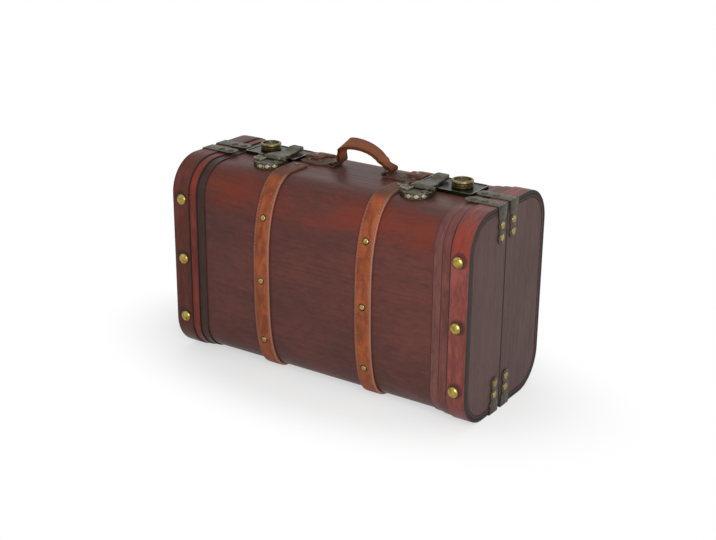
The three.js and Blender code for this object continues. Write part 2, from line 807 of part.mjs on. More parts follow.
// Seen from above the tongue narrows behind the catch and ends in a round tip
function make_tongue_plan() {
  const base = tongue_base_width / 2;
  const neck = tongue_neck_width / 2;
  const taper_start = catch_rear_row;
  const taper_end = taper_start + tongue_taper_length;
  const plan = new THREE.Shape();
  plan.moveTo(-base, pivot_y - overrun);
  plan.lineTo(base, pivot_y - overrun);
  plan.lineTo(base, taper_start);
  plan.lineTo(neck, taper_end);
  const tip_y = tongue_tip_row - tongue_tip_radius;
  plan.absarc(neck - tongue_tip_radius, tip_y, tongue_tip_radius, 0, Math.PI / 2);
  plan.absarc(tongue_tip_radius - neck, tip_y, tongue_tip_radius, Math.PI / 2, Math.PI);
  plan.lineTo(-neck, taper_end);
  plan.lineTo(-base, taper_start);
  return extruded_along_z(plan, 0, tongue_pivot_height + tongue_barrel_radius + overrun);
}

// The lug hangs from the tongue into the plate's slot. The bolt's tip enters its window.
function make_lug(hand, arm_bottom) {
  const low_x = lug_offset - lug_thickness / 2;
  const high_x = lug_offset + lug_thickness / 2;
  const body = outboard_block(
    hand,
    vec(low_x, lug_row - lug_length / 2, fit + lug_floor_clearance),
    vec(high_x, lug_row + lug_length / 2, arm_bottom + tongue_thickness / 2),
  );
  const window = outboard_block(
    hand,
    vec(low_x - overrun, lug_row - lug_window / 2, bolt_bottom - slot_clearance / 2),
    vec(high_x + overrun, lug_row + lug_window / 2, bolt_top + slot_clearance),
  );
  return cut(body, window);
}

// The pin ends flush with the catch's bosses
function make_catch_pin(hand) {
  const half = catch_width / 2;
  const pin = bar_along_x(catch_pin_radius, -half, half, pivot_y, tongue_pivot_height, small_round_steps);
  return set_latch(pin, hand);
}

// Handle tabs, rings and strap

const eye_bore = ring_wire / 2 + eye_clearance;
const eye_radius = eye_bore + eye_wall;
const tab_eye_level = field_top + fit + eye_radius;
const ring_lean = THREE.MathUtils.degToRad(ring_lean_degrees);
const handle_shift = ring_bar_distance * Math.sin(ring_lean);
const handle_eye_level = tab_eye_level + ring_bar_distance * Math.cos(ring_lean);

// The tab is folded round the ring's lower bar, narrow there and wider where it is riveted down
function make_tab(hand) {
  const eye_x = hand * ring_position;
  const bottom = field_top + fit;
  const reach = outboard_block(
    hand,
    vec(ring_position, handle_row - tab_width / 2, bottom),
    vec(tab_reach, handle_row + tab_width / 2, bottom + tab_thickness),
  );
  const eye = bar_along_y(
    eye_radius,
    handle_row - tab_neck_width / 2,
    handle_row + tab_neck_width / 2,
    eye_x,
    tab_eye_level,
  );
  const bore = bar_along_y(
    eye_bore,
    handle_row - tab_width / 2 - overrun,
    handle_row + tab_width / 2 + overrun,
    eye_x,
    tab_eye_level,
    small_round_steps,
  );
  const half = tab_width / 2;
  const neck = tab_neck_width / 2;
  const plan = new THREE.Shape();
  plan.moveTo(hand * (ring_position - eye_radius - overrun), handle_row - neck);
  plan.lineTo(hand * (ring_position + tab_neck_length), handle_row - neck);
  plan.lineTo(hand * (ring_position + tab_neck_length + half - neck), handle_row - half);
  plan.lineTo(hand * (tab_reach - tab_corner_radius), handle_row - half);
  plan.lineTo(hand * tab_reach, handle_row - half + tab_corner_radius);
  plan.lineTo(hand * tab_reach, handle_row + half - tab_corner_radius);
  plan.lineTo(hand * (tab_reach - tab_corner_radius), handle_row + half);
  plan.lineTo(hand * (ring_position + tab_neck_length + half - neck), handle_row + half);
  plan.lineTo(hand * (ring_position + tab_neck_length), handle_row + neck);
  plan.lineTo(hand * (ring_position - eye_radius - overrun), handle_row + neck);
  const trim = extruded_along_z(plan, bottom - overrun, tab_eye_level + eye_radius + overrun);
  return cut(overlap_of(join(reach, eye), trim), bore);
}

// The ring is drawn upright about its lower bar and leans about it
function make_ring() {
  const half_inside = handle_foot_width / 2 + ring_side_clearance;
  const half_outside = half_inside + ring_wire;
  const wire = ring_wire / 2;
  const outline = rounded_rectangle(-wire, -half_outside, ring_bar_distance + wire, half_outside, ring_wire);
  const opening = new THREE.Path();
  opening.moveTo(wire, -half_inside);
  opening.lineTo(wire, half_inside);
  opening.lineTo(ring_bar_distance - wire, half_inside);
  opening.lineTo(ring_bar_distance - wire, -half_inside);
  opening.closePath();
  outline.holes.push(opening);
  const frame = extruded(outline, ring_wire, ring_edge_round, axis_z, axis_y, vec(-1, 0, 0));
  return frame.translate(wire, 0, 0);
}

// The strap's middle line as shares of the span between its eyes and of its rise above them
const handle_line_shares = [
  [0, 0],
  [0.015, 0.48],
  [0.13, 0.88],
  [0.36, 1],
  [0.6, 0.84],
  [0.83, 0.5],
  [0.96, 0.22],
  [1, 0],
];

function make_handle() {
  const left = -ring_position + handle_shift;
  const right = ring_position + handle_shift;
  const places = handle_line_shares.map(
    ([along, up]) => new THREE.Vector2(handle_eye_level + up * handle_rise, left + along * (right - left)),
  );
  const line = new THREE.SplineCurve(places);
  const steps = round_steps;
  const half = handle_thickness / 2;
  const outer = [];
  const inner = [];
  for (let step = 0; step <= steps; step += 1) {
    const point = line.getPoint(step / steps);
    const tangent = line.getTangent(step / steps);
    outer.push(new THREE.Vector2(point.x + tangent.y * half, point.y - tangent.x * half));
    inner.push(new THREE.Vector2(point.x - tangent.y * half, point.y + tangent.x * half));
  }
  const ribbon_shape = new THREE.Shape([...outer, ...inner.reverse()]);
  const half_width = handle_width / 2;
  const ribbon = extruded_along_y(ribbon_shape, handle_row - half_width, handle_row + half_width);
  const feet = [left, right].map((x) => bar_along_y(
    eye_radius,
    handle_row - handle_foot_width / 2,
    handle_row + handle_foot_width / 2,
    x,
    handle_eye_level,
  ));
  const bores = [left, right].map((x) => bar_along_y(
    eye_bore,
    handle_row - handle_foot_width / 2 - overrun,
    handle_row + handle_foot_width / 2 + overrun,
    x,
    handle_eye_level,
    small_round_steps,
  ));
  return cut(join(overlap_of(ribbon, make_handle_trim()), ...feet), ...bores);
}

// Seen from the side the strap is narrow at its feet, up to the foot length above the eyes
function make_handle_trim() {
  const foot_top = handle_eye_level + handle_foot_length;
  const wide_start = foot_top + handle_width - handle_foot_width;
  const foot = handle_foot_width / 2;
  const wide = handle_width / 2;
  const low = handle_eye_level - eye_radius - overrun;
  const high = handle_eye_level + handle_rise + handle_thickness + overrun;
  const outline = new THREE.Shape();
  outline.moveTo(handle_row - foot, low);
  outline.lineTo(handle_row + foot, low);
  outline.lineTo(handle_row + foot, foot_top);
  outline.lineTo(handle_row + wide, wide_start);
  outline.lineTo(handle_row + wide, high);
  outline.lineTo(handle_row - wide, high);
  outline.lineTo(handle_row - wide, wide_start);
  outline.lineTo(handle_row - foot, foot_top);
  const reach = ring_position + handle_shift + handle_thickness + overrun;
  return extruded_along_x(outline, -reach, reach);
}

// Assembly

const group = new THREE.Group();
const leaves = { front: new THREE.Group(), back: new THREE.Group() };
const handle_group = new THREE.Group();
group.add(leaves.front, leaves.back, handle_group);

for (const [leaf, side] of [["front", front], ["back", back]]) {
  const leaf_group = leaves[leaf];
  leaf_group.add(make_mesh(`${leaf}_shell`, make_shell(side), "mahogany"));
  leaf_group.add(make_mesh(`${leaf}_lining`, make_lining(side), "cloth"));
  for (const [where, hand] of Object.entries(hands)) {
    leaf_group.add(make_mesh(`${leaf}_end_panel_${where}`, make_end_panel(side, hand), "end_wood"));
    leaf_group.add(make_mesh(`${leaf}_band_${where}`, make_band(side, hand), "cherry"));
    leaf_group.add(make_mesh(`${leaf}_bracket_top_${where}`, make_bracket(side, hand, 1), "bronze"));
    leaf_group.add(make_mesh(`${leaf}_bracket_bottom_${where}`, make_bracket(side, hand, -1), "bronze"));
    leaf_group.add(make_mesh(`${leaf}_hinge_leaf_${where}`, make_hinge_leaf(side, hand), "bronze"));
    for (const [place, row] of [["low", -1], ["middle", 0], ["high", 1]]) {
      leaf_group.add(make_mesh(`${leaf}_nail_${where}_${place}`, make_nail(side, hand, row), "brass"));
    }
  }
}

for (const [where, hand] of Object.entries(hands)) {
  leaves.front.add(make_mesh(`front_strap_${where}`, make_front_strap(hand), "leather"));
  leaves.front.add(make_mesh(`catch_${where}`, make_catch(hand), "bronze"));
  leaves.front.add(make_mesh(`tongue_${where}`, make_tongue(hand), "bronze"));
  leaves.front.add(make_mesh(`catch_pin_${where}`, make_catch_pin(hand), "bronze"));
  leaves.back.add(make_mesh(`back_strap_${where}`, make_back_strap(hand), "leather"));
  leaves.back.add(make_mesh(`hinge_pin_${where}`, make_hinge_pin(hand), "bronze"));
  leaves.back.add(make_mesh(`latch_plate_${where}`, make_latch_plate(hand), "bronze"));
  leaves.back.add(make_mesh(`knob_${where}`, make_knob(hand), "brass"));
  leaves.back.add(make_mesh(`bolt_${where}`, make_bolt(hand), "bronze"));
  leaves.back.add(make_mesh(`handle_tab_${where}`, make_tab(hand), "leather"));
  const ring = make_mesh(`handle_ring_${where}`, make_ring(), "bronze");
  ring.position.set(hand * ring_position, handle_row, tab_eye_level);
  ring.rotation.y = ring_lean;
  handle_group.add(ring);
}
handle_group.add(make_mesh("handle", make_handle(), "leather"));

export default group;
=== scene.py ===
"""Vintage wooden case on its hinged edge: the finished surfaces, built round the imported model.

Metres. +X runs along the case, -Y is the front face, +Z is up. Every piece is a surface worked
out as whole arrays: a section carried along a path, an outline drawn up level by level, or a
profile turned about an axis.
"""

import json
import math

import bpy
import numpy as np
from bpy.props import FloatProperty, FloatVectorProperty, IntProperty, PointerProperty
from mathutils import Matrix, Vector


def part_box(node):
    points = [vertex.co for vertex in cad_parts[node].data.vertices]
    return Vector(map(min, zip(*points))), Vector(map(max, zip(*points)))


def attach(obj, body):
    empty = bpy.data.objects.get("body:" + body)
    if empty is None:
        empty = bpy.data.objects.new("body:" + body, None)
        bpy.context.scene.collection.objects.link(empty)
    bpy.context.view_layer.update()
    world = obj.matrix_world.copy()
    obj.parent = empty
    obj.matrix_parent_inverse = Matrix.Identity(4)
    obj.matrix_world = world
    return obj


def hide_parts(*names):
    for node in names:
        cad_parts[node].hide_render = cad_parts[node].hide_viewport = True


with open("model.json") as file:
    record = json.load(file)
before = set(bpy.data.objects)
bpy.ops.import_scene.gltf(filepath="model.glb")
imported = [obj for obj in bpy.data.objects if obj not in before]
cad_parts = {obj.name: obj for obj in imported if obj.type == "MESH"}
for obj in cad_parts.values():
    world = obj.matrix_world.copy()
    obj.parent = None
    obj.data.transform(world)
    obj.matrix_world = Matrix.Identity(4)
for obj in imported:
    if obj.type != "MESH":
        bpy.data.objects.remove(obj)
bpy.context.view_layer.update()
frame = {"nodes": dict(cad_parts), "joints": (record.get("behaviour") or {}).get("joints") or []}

bl_info = {
    "name": "Vintage wooden case",
    "version": (1, 0, 0),
    "blender": (4, 5, 0),
    "location": "3D View > Sidebar > Wooden Case",
    "description": "Builds the finished surfaces of a strapped wooden case",
    "category": "Add Mesh",
}

MM = 0.001
X, Y, Z = np.eye(3)
SIDES = {"front": -1, "back": 1}
HANDS = {"left": -1, "right": 1}
BODIES = {"front": "lid", "back": "back_leaf"}


def corners(node):
    """The lowest and highest corner of a CAD node as arrays."""
    low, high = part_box(node)
    return np.array(low), np.array(high)


def joint_place(name):
    """Where a joint's axis lies, as an array."""
    found = [joint for joint in frame["joints"] if joint["name"] == name]
    return np.array(found[0]["pos_m"], float)


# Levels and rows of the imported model
shell_low, shell_high = corners("front_shell")
band_low, band_high = corners("front_band_right")
panel_low, panel_high = corners("front_end_panel_right")
lining_high = corners("front_lining")[1]
FIELD_BOTTOM, FIELD_TOP = shell_low[2], shell_high[2]
CASE_END = shell_high[0]
BAND_RISE = band_high[2] - FIELD_TOP
BAND_WIDTH = band_high[0] - band_low[0]
FIELD_REACH = -band_low[1] - BAND_RISE
SHEET_BULGE = -shell_low[1] - FIELD_REACH
HELD_END = band_low[0]
RELAXED_END = corners("front_strap_right")[1][0] + 4 * MM
FRONT_PARTING = shell_high[1]
BACK_PARTING = corners("back_shell")[0][1]
PARTINGS = {"front": FRONT_PARTING, "back": BACK_PARTING}
SEAT_GAP = corners("handle_tab_right")[0][2] - FIELD_TOP
STRAP_TOP = corners("front_strap_right")[1][2] - FIELD_TOP


def linear(hex_colour):
    """The linear colour of an sRGB hex value, with full opacity."""
    shares = np.array([int(hex_colour[place:place + 2], 16) for place in (1, 3, 5)]) / 255
    curved = np.where(shares <= 0.04045, shares / 12.92, ((shares + 0.055) / 1.055) ** 2.4)
    return (*[float(share) for share in curved], 1.0)


def length(name, description, default):
    """A length that a user can change."""
    return FloatProperty(name=name, description=description, default=default, min=0, unit="LENGTH")


def colour(name, description, hex_colour):
    """A colour that a user can change, given as an sRGB hex value."""
    return FloatVectorProperty(
        name=name, description=description, subtype="COLOR", size=4, min=0, max=1,
        default=linear(hex_colour),
    )


class CaseSizes(bpy.types.PropertyGroup):
    """Sizes of the wooden case that a user would change"""

    field_corner: length("Field corner", "Radius of the bent plywood under the bands", 42 * MM)
    crown_setback: length("Crown setback", "How far behind that corner the middle starts to fall", 7.5 * MM)
    widest_level: length("Widest level", "Height at which the relaxed plywood stands proudest", 150.2 * MM)
    shell_wall: length("Shell wall", "Thickness of the bent plywood", 3.2 * MM)
    nailed_strip: length("Nailed strip", "Width of the outermost strip of a band", 26 * MM)
    middle_strip: length("Middle strip", "Width of the middle strip of a band", 11.5 * MM)
    middle_rise: length("Middle rise", "Height of the middle strip over the field", 3 * MM)
    inner_rise: length("Inner rise", "Height of the innermost strip over the field", 1.5 * MM)
    strip_ease: length("Strip edge", "Radius of the strips' eased edges", 0.7 * MM)
    hinge_relief: length("Hinge relief", "How far bands and straps stop short of the hinge", 4 * MM)
    nail_pitch: length("Nail pitch", "Distance between the nails of a band", 81 * MM)
    bracket_thickness: length("Bracket", "Thickness of the corner brackets' sheet", 0.9 * MM)
    bracket_rivet: length("Bracket rivet", "Radius of the rivets in the brackets", 4.4 * MM)
    strap_crease: length("Strap crease", "Distance of the pressed line from a strap's edge", 2.1 * MM)
    stitch_pitch: length("Stitch pitch", "Distance from stitch to stitch", 4.4 * MM)
    stitch_length: length("Stitch", "Length of one stitch", 2.9 * MM)
    strap_rivet: length("Strap rivet", "Radius of the rivets in the straps", 3.6 * MM)
    leather_layer: length("Leather layer", "Thickness of one layer of a folded tab", 1.45 * MM)
    ring_wire: length("Ring wire", "Thickness of the wire of the handle's rings", 2.6 * MM)
    handle_rise: length("Handle rise", "Height of the handle over its rings", 24 * MM)
    knob_petals: IntProperty(name="Knob petals", description="Petals of a knob's rosette", default=8)


class CaseColours(bpy.types.PropertyGroup):
    """Colours of the wooden case that a user would change"""

    field: colour("Field", "Stained mahogany between the bands", "#442925")
    field_red: colour("Field red", "Where the stain came out reddest", "#5c312b")
    # Painted sheen: the lighter, oranger band over the top curve, where the light from above falls
    glow: colour("Glow", "Stain rubbed thin over the top curve", "#9a3410")
    band_dark: colour("Left nailed strip", "Outermost strip of the left bands", "#54271d")
    stripe: colour("Left middle strip", "Red middle strip of the left bands", "#6c2a20")
    inner: colour("Left inner strip", "Dark innermost strip of the left bands", "#37231d")
    band_red: colour("Right nailed strip", "Outermost strip of the right bands", "#713a34")
    middle_right: colour("Right middle strip", "Middle strip of the right bands", "#5d3530")
    inner_right: colour("Right inner strip", "Innermost strip of the right bands", "#5f3a36")
    end: colour("End", "End panels", "#493431")
    edge: colour("Edge", "Blackened edges of the plywood and the strips", "#2a2523")
    leather: colour("Leather", "Straps of the case", "#8a482b")
    tab_leather: colour("Tab leather", "Tabs of the handle and leather on top", "#4b3127")
    handle_leather: colour("Handle leather", "Handle", "#7c3e16")
    cut_edge: colour("Cut edge", "Raw edges of the leather and its thread", "#9a7460")
    bronze: colour("Bronze", "Brackets and latches", "#565143")
    brass: colour("Brass", "Nails and rivets", "#b59c50")
    cloth: colour("Lining", "Cloth lining", "#54423a")


def sizes():
    """The case's sizes as the panel shows them."""
    return bpy.context.scene.case_sizes


def colours():
    """The case's colours as the panel shows them."""
    return bpy.context.scene.case_colours


# Surfaces


class Surface:
    """One closed surface: its points, its faces as arrays of equal sides, and for each point
    the place in the grain (along the fibres, across them, a depth that differs from piece to
    piece) and how much of an edge it is."""

    def __init__(self, points, faces, grain=None, edge=None):
        self.points = np.asarray(points, float).reshape(-1, 3)
        count = len(self.points)
        self.grain = self.points if grain is None else np.asarray(grain, float).reshape(-1, 3)
        self.edge = np.zeros(count) if edge is None else np.asarray(edge, float).reshape(-1)
        self.faces = outward(self.points, faces)

    def moved(self, origin, first, second, third):
        """The same surface with its own axes laid along three directions from an origin."""
        turned = self.points @ np.stack([first, second, third]) + origin
        return Surface(turned, self.faces, self.grain, self.edge)


def outward(points, faces):
    """Turns the faces round if they enclose a negative volume: a sixth of the sum, over the
    triangles, of the first point's dot product with the other two's cross product."""
    fans = []
    for block in faces:
        first = np.broadcast_to(block[:, :1], block[:, 2:].shape)
        fans.append(np.stack([first, block[:, 1:-1], block[:, 2:]], axis=-1).reshape(-1, 3))
    triangles = np.concatenate(fans)
    one, two, three = (points[triangles[:, corner]] for corner in range(3))
    volume = np.einsum("ij,ij->", one, np.cross(two, three)) / 6
    return faces if volume > 0 else [block[:, ::-1] for block in faces]


def grid_faces(rows, columns, wrap_rows=False, wrap_columns=True):
    """Four-sided faces over a grid of points numbered row by row."""
    row = np.arange(rows if wrap_rows else rows - 1)[:, None]
    column = np.arange(columns if wrap_columns else columns - 1)[None, :]
    row, column = (part.ravel() for part in np.broadcast_arrays(row, column))
    next_row, next_column = (row + 1) % rows, (column + 1) % columns
    places = [(row, column), (next_row, column), (next_row, next_column), (row, next_column)]
    return np.stack([one * columns + other for one, other in places], axis=1)


def running_length(path):
    """Distance along a path at each of its points."""
    steps = np.linalg.norm(np.diff(path, axis=0), axis=1)
    return np.concatenate([[0], np.cumsum(steps)])


def tube_faces(rows, columns):
    """Faces over a grid whose rows are closed rings, with one flat face at either end."""
    ring = np.arange(columns)[None, :]
    return [grid_faces(rows, columns), ring[:, ::-1], ring + (rows - 1) * columns]


def carried(path, sideways, upward, section, edge=0, fibres_along=True, piece=0, closed=False):
    """A section carried along a path. Each point is the path's point, plus the section's first
    number times the sideways direction, plus its second number times the upward direction."""
    path, sideways, upward = (np.asarray(part, float) for part in (path, sideways, upward))
    rows, columns = len(path), np.shape(section)[-2]
    section = np.broadcast_to(section, (rows, columns, 2))
    sideways = np.broadcast_to(sideways, path.shape)
    upward = np.broadcast_to(upward, path.shape)
    across, height = section[..., :1], section[..., 1:]
    points = path[:, None] + across * sideways[:, None] + height * upward[:, None]
    along = np.broadcast_to(running_length(path)[:, None, None], across.shape)
    order = [along, across] if fibres_along else [across, along]
    grain = np.concatenate([*order, piece + height], axis=-1)
    faces = [grid_faces(rows, columns, wrap_rows=True)] if closed else tube_faces(rows, columns)
    return Surface(points, faces, grain, np.broadcast_to(edge, (rows, columns)))


def eased_rectangle(width, low, high, ease, steps, tops=(0.5,), crown=0.0):
    """A rectangle's outline with quarter circles at its corners, from the low to the high level.
    Between the upper corners lie extra points at shares of the flat width, raised by the crown
    times one less the square of their distance from the middle. Widths and levels may be
    columns of numbers, one for each row of a path."""
    width, low, high, ease = (np.asarray(part, float)[..., None] for part in (width, low, high, ease))
    turn = np.linspace(0, np.pi / 2, steps + 1)
    half = width / 2 - ease
    shares = np.asarray(tops, float) * 2 - 1
    runs = [
        (half + ease * np.cos(turn), high - ease + ease * np.sin(turn)),
        (-half * shares, high + crown * (1 - shares ** 2)),
        (-half - ease * np.sin(turn), high - ease + ease * np.cos(turn)),
        (-half - ease * np.cos(turn), low + ease - ease * np.sin(turn)),
        (half + ease * np.sin(turn), low + ease - ease * np.cos(turn)),
    ]
    rows = half.shape[:-1]
    across = np.concatenate([np.broadcast_to(a, rows + a.shape[-1:]) for a, _ in runs], axis=-1)
    height = np.concatenate([np.broadcast_to(b, rows + b.shape[-1:]) for _, b in runs], axis=-1)
    return np.stack([across, height], axis=-1)


def corner_edge(steps, tops=1):
    """How much of an edge each point of an eased rectangle is: its corners and sides count."""
    corner = np.ones(steps + 1)
    return np.concatenate([corner, np.zeros(tops), corner, corner, corner])


def leaf_path(side, lift, top_row, bottom_row, spacing=3 * MM):
    """Points and outward normals round one leaf, at a height over its field. Seen from the end:
    straight from the parting plane, a quarter circle, the flat face, a quarter circle and
    straight back. On a quarter circle a point is the centre plus the radius times the normal."""
    radius = sizes().field_corner
    turn = np.linspace(0, np.pi / 2, 25)
    arc_row = side * (FIELD_REACH - radius)
    arc = np.stack([side * np.sin(turn), np.cos(turn)], axis=1)
    high = np.array([arc_row, FIELD_TOP - radius])
    low = np.array([arc_row, FIELD_BOTTOM + radius])
    top_arc = high + (radius + lift) * arc
    bottom_normals = np.stack([side * np.cos(turn), -np.sin(turn)], axis=1)
    bottom_arc = low + (radius + lift) * bottom_normals
    start = np.array([top_row, FIELD_TOP + lift])
    end = np.array([bottom_row, FIELD_BOTTOM - lift])

    def straight(first, last, normal):
        """Even points from the first place up to the last, with their normal."""
        count = max(2, int(np.linalg.norm(last - first) / spacing))
        share = np.linspace(0, 1, count, endpoint=False)[:, None]
        return first + share * (last - first), np.tile(normal, (count, 1))

    parts = [
        straight(start, top_arc[0], [0, 1]),
        (top_arc[:-1], arc[:-1]),
        straight(top_arc[-1], bottom_arc[0], [side, 0]),
        (bottom_arc[:-1], bottom_normals[:-1]),
        straight(bottom_arc[-1], end, [0, -1]),
        (end[None], np.array([[0, -1.0]])),
    ]
    flat = np.concatenate([part[0] for part in parts])
    normal = np.concatenate([part[1] for part in parts])
    zero = np.zeros((len(flat), 1))
    return np.hstack([zero, flat]), np.hstack([zero, normal])


# The powers of the relaxed section above its widest level and below it
UPPER_POWER, LOWER_POWER = 2.25, 3.3


def relaxed(points, side, lift, share):
    """Moves points of the section held by the bands towards that of the relaxed plywood, by a
    share of the way along the line from the crown point. The relaxed section is a superellipse
    about that point: the sum of two powers, of the distance outward over the depth and of the
    height over the reach, is one."""
    crown = FIELD_REACH - sizes().field_corner - sizes().crown_setback
    widest = sizes().widest_level
    out, up = side * points[..., 1] - crown, points[..., 2] - widest
    depth = FIELD_REACH + SHEET_BULGE + lift - crown
    reach = np.where(up > 0, FIELD_TOP - widest, widest - FIELD_BOTTOM) + lift
    power = np.where(up > 0, UPPER_POWER, LOWER_POWER)
    near = (np.maximum(out, 0) / depth) ** power + np.abs(up / reach) ** power
    stretch = np.where(out > 0, 1 + share * (near ** (-1 / power) - 1), 1)
    return np.stack([points[..., 0], side * (crown + (side * points[..., 1] - crown) * stretch),
                     widest + up * stretch], axis=-1)


def relaxed_share(across):
    """How far the plywood is relaxed at a distance along the case: not at all under the bands,
    and wholly between the straps, with a smooth step between."""
    return smooth((HELD_END - np.abs(across)) / (HELD_END - RELAXED_END))


def sheet_grid(side, top_row, bottom_row, across, lifts):
    """Points of the bent sheet for each place on the leaf's path and each pair of a distance
    along the case and a height over the field."""
    path, normal = leaf_path(side, 0, top_row, bottom_row)
    lifts, across = np.asarray(lifts, float), np.asarray(across, float)
    points = path[:, None] + lifts[None, :, None] * normal[:, None] + across[None, :, None] * X
    return relaxed(points, side, lifts[None], relaxed_share(across)[None])


def strap_line(side, top_row, bottom_row, spacing):
    """The relaxed section's points under a strap, and their normals, square to the path."""
    path, _ = leaf_path(side, 0, top_row, bottom_row, spacing)
    path = relaxed(path, side, 0.0, 1.0)
    ahead = np.gradient(path, axis=0)
    ahead /= np.linalg.norm(ahead, axis=1, keepdims=True)
    return path, side * np.cross(X, ahead)


def outline_normals(outline):
    """Outward mitre directions of a closed outline drawn anticlockwise: the mean of the normals
    of the two sides that meet, drawn out so that an offset keeps both sides parallel."""
    ahead = np.roll(outline, -1, axis=0) - outline
    ahead /= np.linalg.norm(ahead, axis=1, keepdims=True)
    normal = np.stack([ahead[:, 1], -ahead[:, 0]], axis=1)
    before = np.roll(normal, 1, axis=0)
    mean = normal + before
    return mean / np.maximum(np.einsum("ij,ij->i", mean, normal), 0.3)[:, None]


def anticlockwise(outline):
    """The outline in anticlockwise order, by the sign of the area that it encloses."""
    ahead = np.roll(outline, -1, axis=0)
    area = np.sum(outline[:, 0] * ahead[:, 1] - ahead[:, 0] * outline[:, 1])
    return outline if area > 0 else outline[::-1]


def drawn_up(outline, levels, insets, edge, fibre, piece):
    """An outline drawn up through levels. At each level every point moves in along its mitre
    direction by that level's inset, and both ends are closed flat. Fibre names the outline's
    axes that the grain runs along and across."""
    outline = anticlockwise(np.asarray(outline, float))
    flat = outline[None] - insets[:, None, None] * outline_normals(outline)[None]
    rows, columns = flat.shape[:2]
    height = np.broadcast_to(levels[:, None], (rows, columns))
    points = np.dstack([flat, height])
    grain = np.dstack([points[..., fibre[0]], points[..., fibre[1]], piece + height])
    edge = np.broadcast_to(np.reshape(edge, (-1, 1)), (rows, columns))
    return Surface(points, tube_faces(rows, columns), grain, edge)


def eased_levels(low, high, ease, rim):
    """Levels and insets of a plate with both rims rounded by quarter circles and a flat margin
    as wide as the rim inside each, and how much of an edge each level is."""
    turn = np.linspace(0, np.pi / 2, 4)
    rise, fall = ease * np.sin(turn), ease - ease * np.cos(turn)
    levels = np.concatenate([[low], low + fall, high - ease + rise, [high]])
    insets = np.concatenate([[ease + rim], ease - rise, fall, [ease + rim]])
    return levels, insets, np.pad(np.ones(2 * len(turn)), 1)


def turned(profile, steps, relief=None, edge=0):
    """A profile of radii and heights turned about the third axis. It starts and ends on the
    axis, where each end is one point. The relief is a height added for each radius and turn."""
    profile = np.asarray(profile, float)
    radius, height = profile[1:-1, :1], profile[1:-1, 1:]
    turn = np.linspace(0, 2 * np.pi, steps, endpoint=False)[None, :]
    level = height + (0 if relief is None else relief(radius, turn) * np.ones_like(turn))
    rings = np.dstack([radius * np.cos(turn), radius * np.sin(turn), level * np.ones_like(turn)])
    rows = len(radius)
    points = np.concatenate([rings.reshape(-1, 3), [[0, 0, profile[0, 1]], [0, 0, profile[-1, 1]]]])
    column = np.arange(steps)
    following = (column + 1) % steps
    last = (rows - 1) * steps
    fans = [
        np.stack([np.full(steps, rows * steps), following, column], axis=1),
        np.stack([np.full(steps, rows * steps + 1), last + column, last + following], axis=1),
    ]
    edges = np.broadcast_to(np.reshape(edge, (-1, 1)), (len(profile), 1))[1:-1] * np.ones((1, steps))
    edges = np.concatenate([edges.ravel(), [0, 0]])
    return Surface(points, [grid_faces(rows, steps), *fans], None, edges)


def smooth(share):
    """A smooth step from 0 to 1: three times the square less twice the cube."""
    share = np.clip(share, 0, 1)
    return share * share * (3 - 2 * share)


def put_mesh(name, surfaces, finish, body, nodes=(), sharp=38):
    """Joins closed surfaces into one piece with its finish and body. It takes the place of the
    nodes named. Edges sharper than a number of degrees stay sharp."""
    offsets = np.cumsum([0] + [len(surface.points) for surface in surfaces])
    faces = [
        face
        for surface, offset in zip(surfaces, offsets)
        for block in surface.faces
        for face in (block + offset).tolist()
    ]
    points = np.concatenate([surface.points for surface in surfaces])
    mesh = bpy.data.meshes.new(name)
    mesh.from_pydata(points.tolist(), [], faces)
    grain = np.concatenate([surface.grain for surface in surfaces]).astype(np.float32)
    mesh.attributes.new("grain", "FLOAT_VECTOR", "POINT").data.foreach_set("vector", grain.ravel())
    edge = np.concatenate([surface.edge for surface in surfaces]).astype(np.float32)
    mesh.attributes.new("edge", "FLOAT", "POINT").data.foreach_set("value", edge)
    mesh.polygons.foreach_set("use_smooth", np.ones(len(faces), bool))
    mesh.set_sharp_from_angle(angle=math.radians(sharp))
    mesh.materials.append(finishes[finish])
    mesh.update()
    piece = show(name, mesh)
    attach(piece, body)
    if nodes:
        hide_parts(*nodes)


def finish_node(node, finish):
    """Gives a carried-over CAD node its finish."""
    mesh = frame["nodes"][node].data
    mesh.materials.clear()
    mesh.materials.append(finishes[finish])


# Materials


# Levels of the painted glow, a lighter band painted over the top curve where the light from
# above falls: where it starts, is full, is still full and ends
GLOW_LEVELS = (203 * MM, 232 * MM, 247 * MM, 262 * MM)
# How a range is passed through: with a smooth step
EASED = {"interpolation_type": "SMOOTHSTEP"}


def add(tree, kind, inputs=(), output=0, **settings):
    """Adds a node with its settings and gives one of its outputs, if it has any. Inputs are
    values or other nodes' outputs, in the order of the sockets or by their names or numbers."""
    node = tree.nodes.new("ShaderNode" + kind)
    for name, value in settings.items():
        setattr(node, name, value)
    for socket, value in inputs.items() if isinstance(inputs, dict) else enumerate(inputs):
        if isinstance(value, bpy.types.NodeSocket):
            tree.links.new(value, node.inputs[socket])
        else:
            node.inputs[socket].default_value = value
    return node.outputs[output] if node.outputs else None


def new_finish(name):
    """An empty material and its tree of nodes."""
    material = bpy.data.materials.new(name)
    material.use_nodes = True
    material.node_tree.nodes.clear()
    return material, material.node_tree


def finished(material, sockets):
    """The material with its principled shader, which gets these sockets, as its surface."""
    shader = add(material.node_tree, "BsdfPrincipled", sockets)
    add(material.node_tree, "OutputMaterial", {"Surface": shader})
    return material


def scales(*spans):
    """What a place is multiplied by for a pattern with these sizes in millimetres."""
    return [1 / (span * MM) for span in spans]


def pattern(tree, place, spans, detail, roughness=0.55, distortion=0.0):
    """Soft noise over a place. The spans are its sizes in millimetres along the fibres, across
    them and in depth."""
    spread = add(tree, "Mapping", {"Vector": place, "Scale": scales(*spans)})
    return add(tree, "TexNoise", {"Vector": spread, "Scale": 1.0, "Detail": detail,
                                  "Roughness": roughness, "Distortion": distortion})


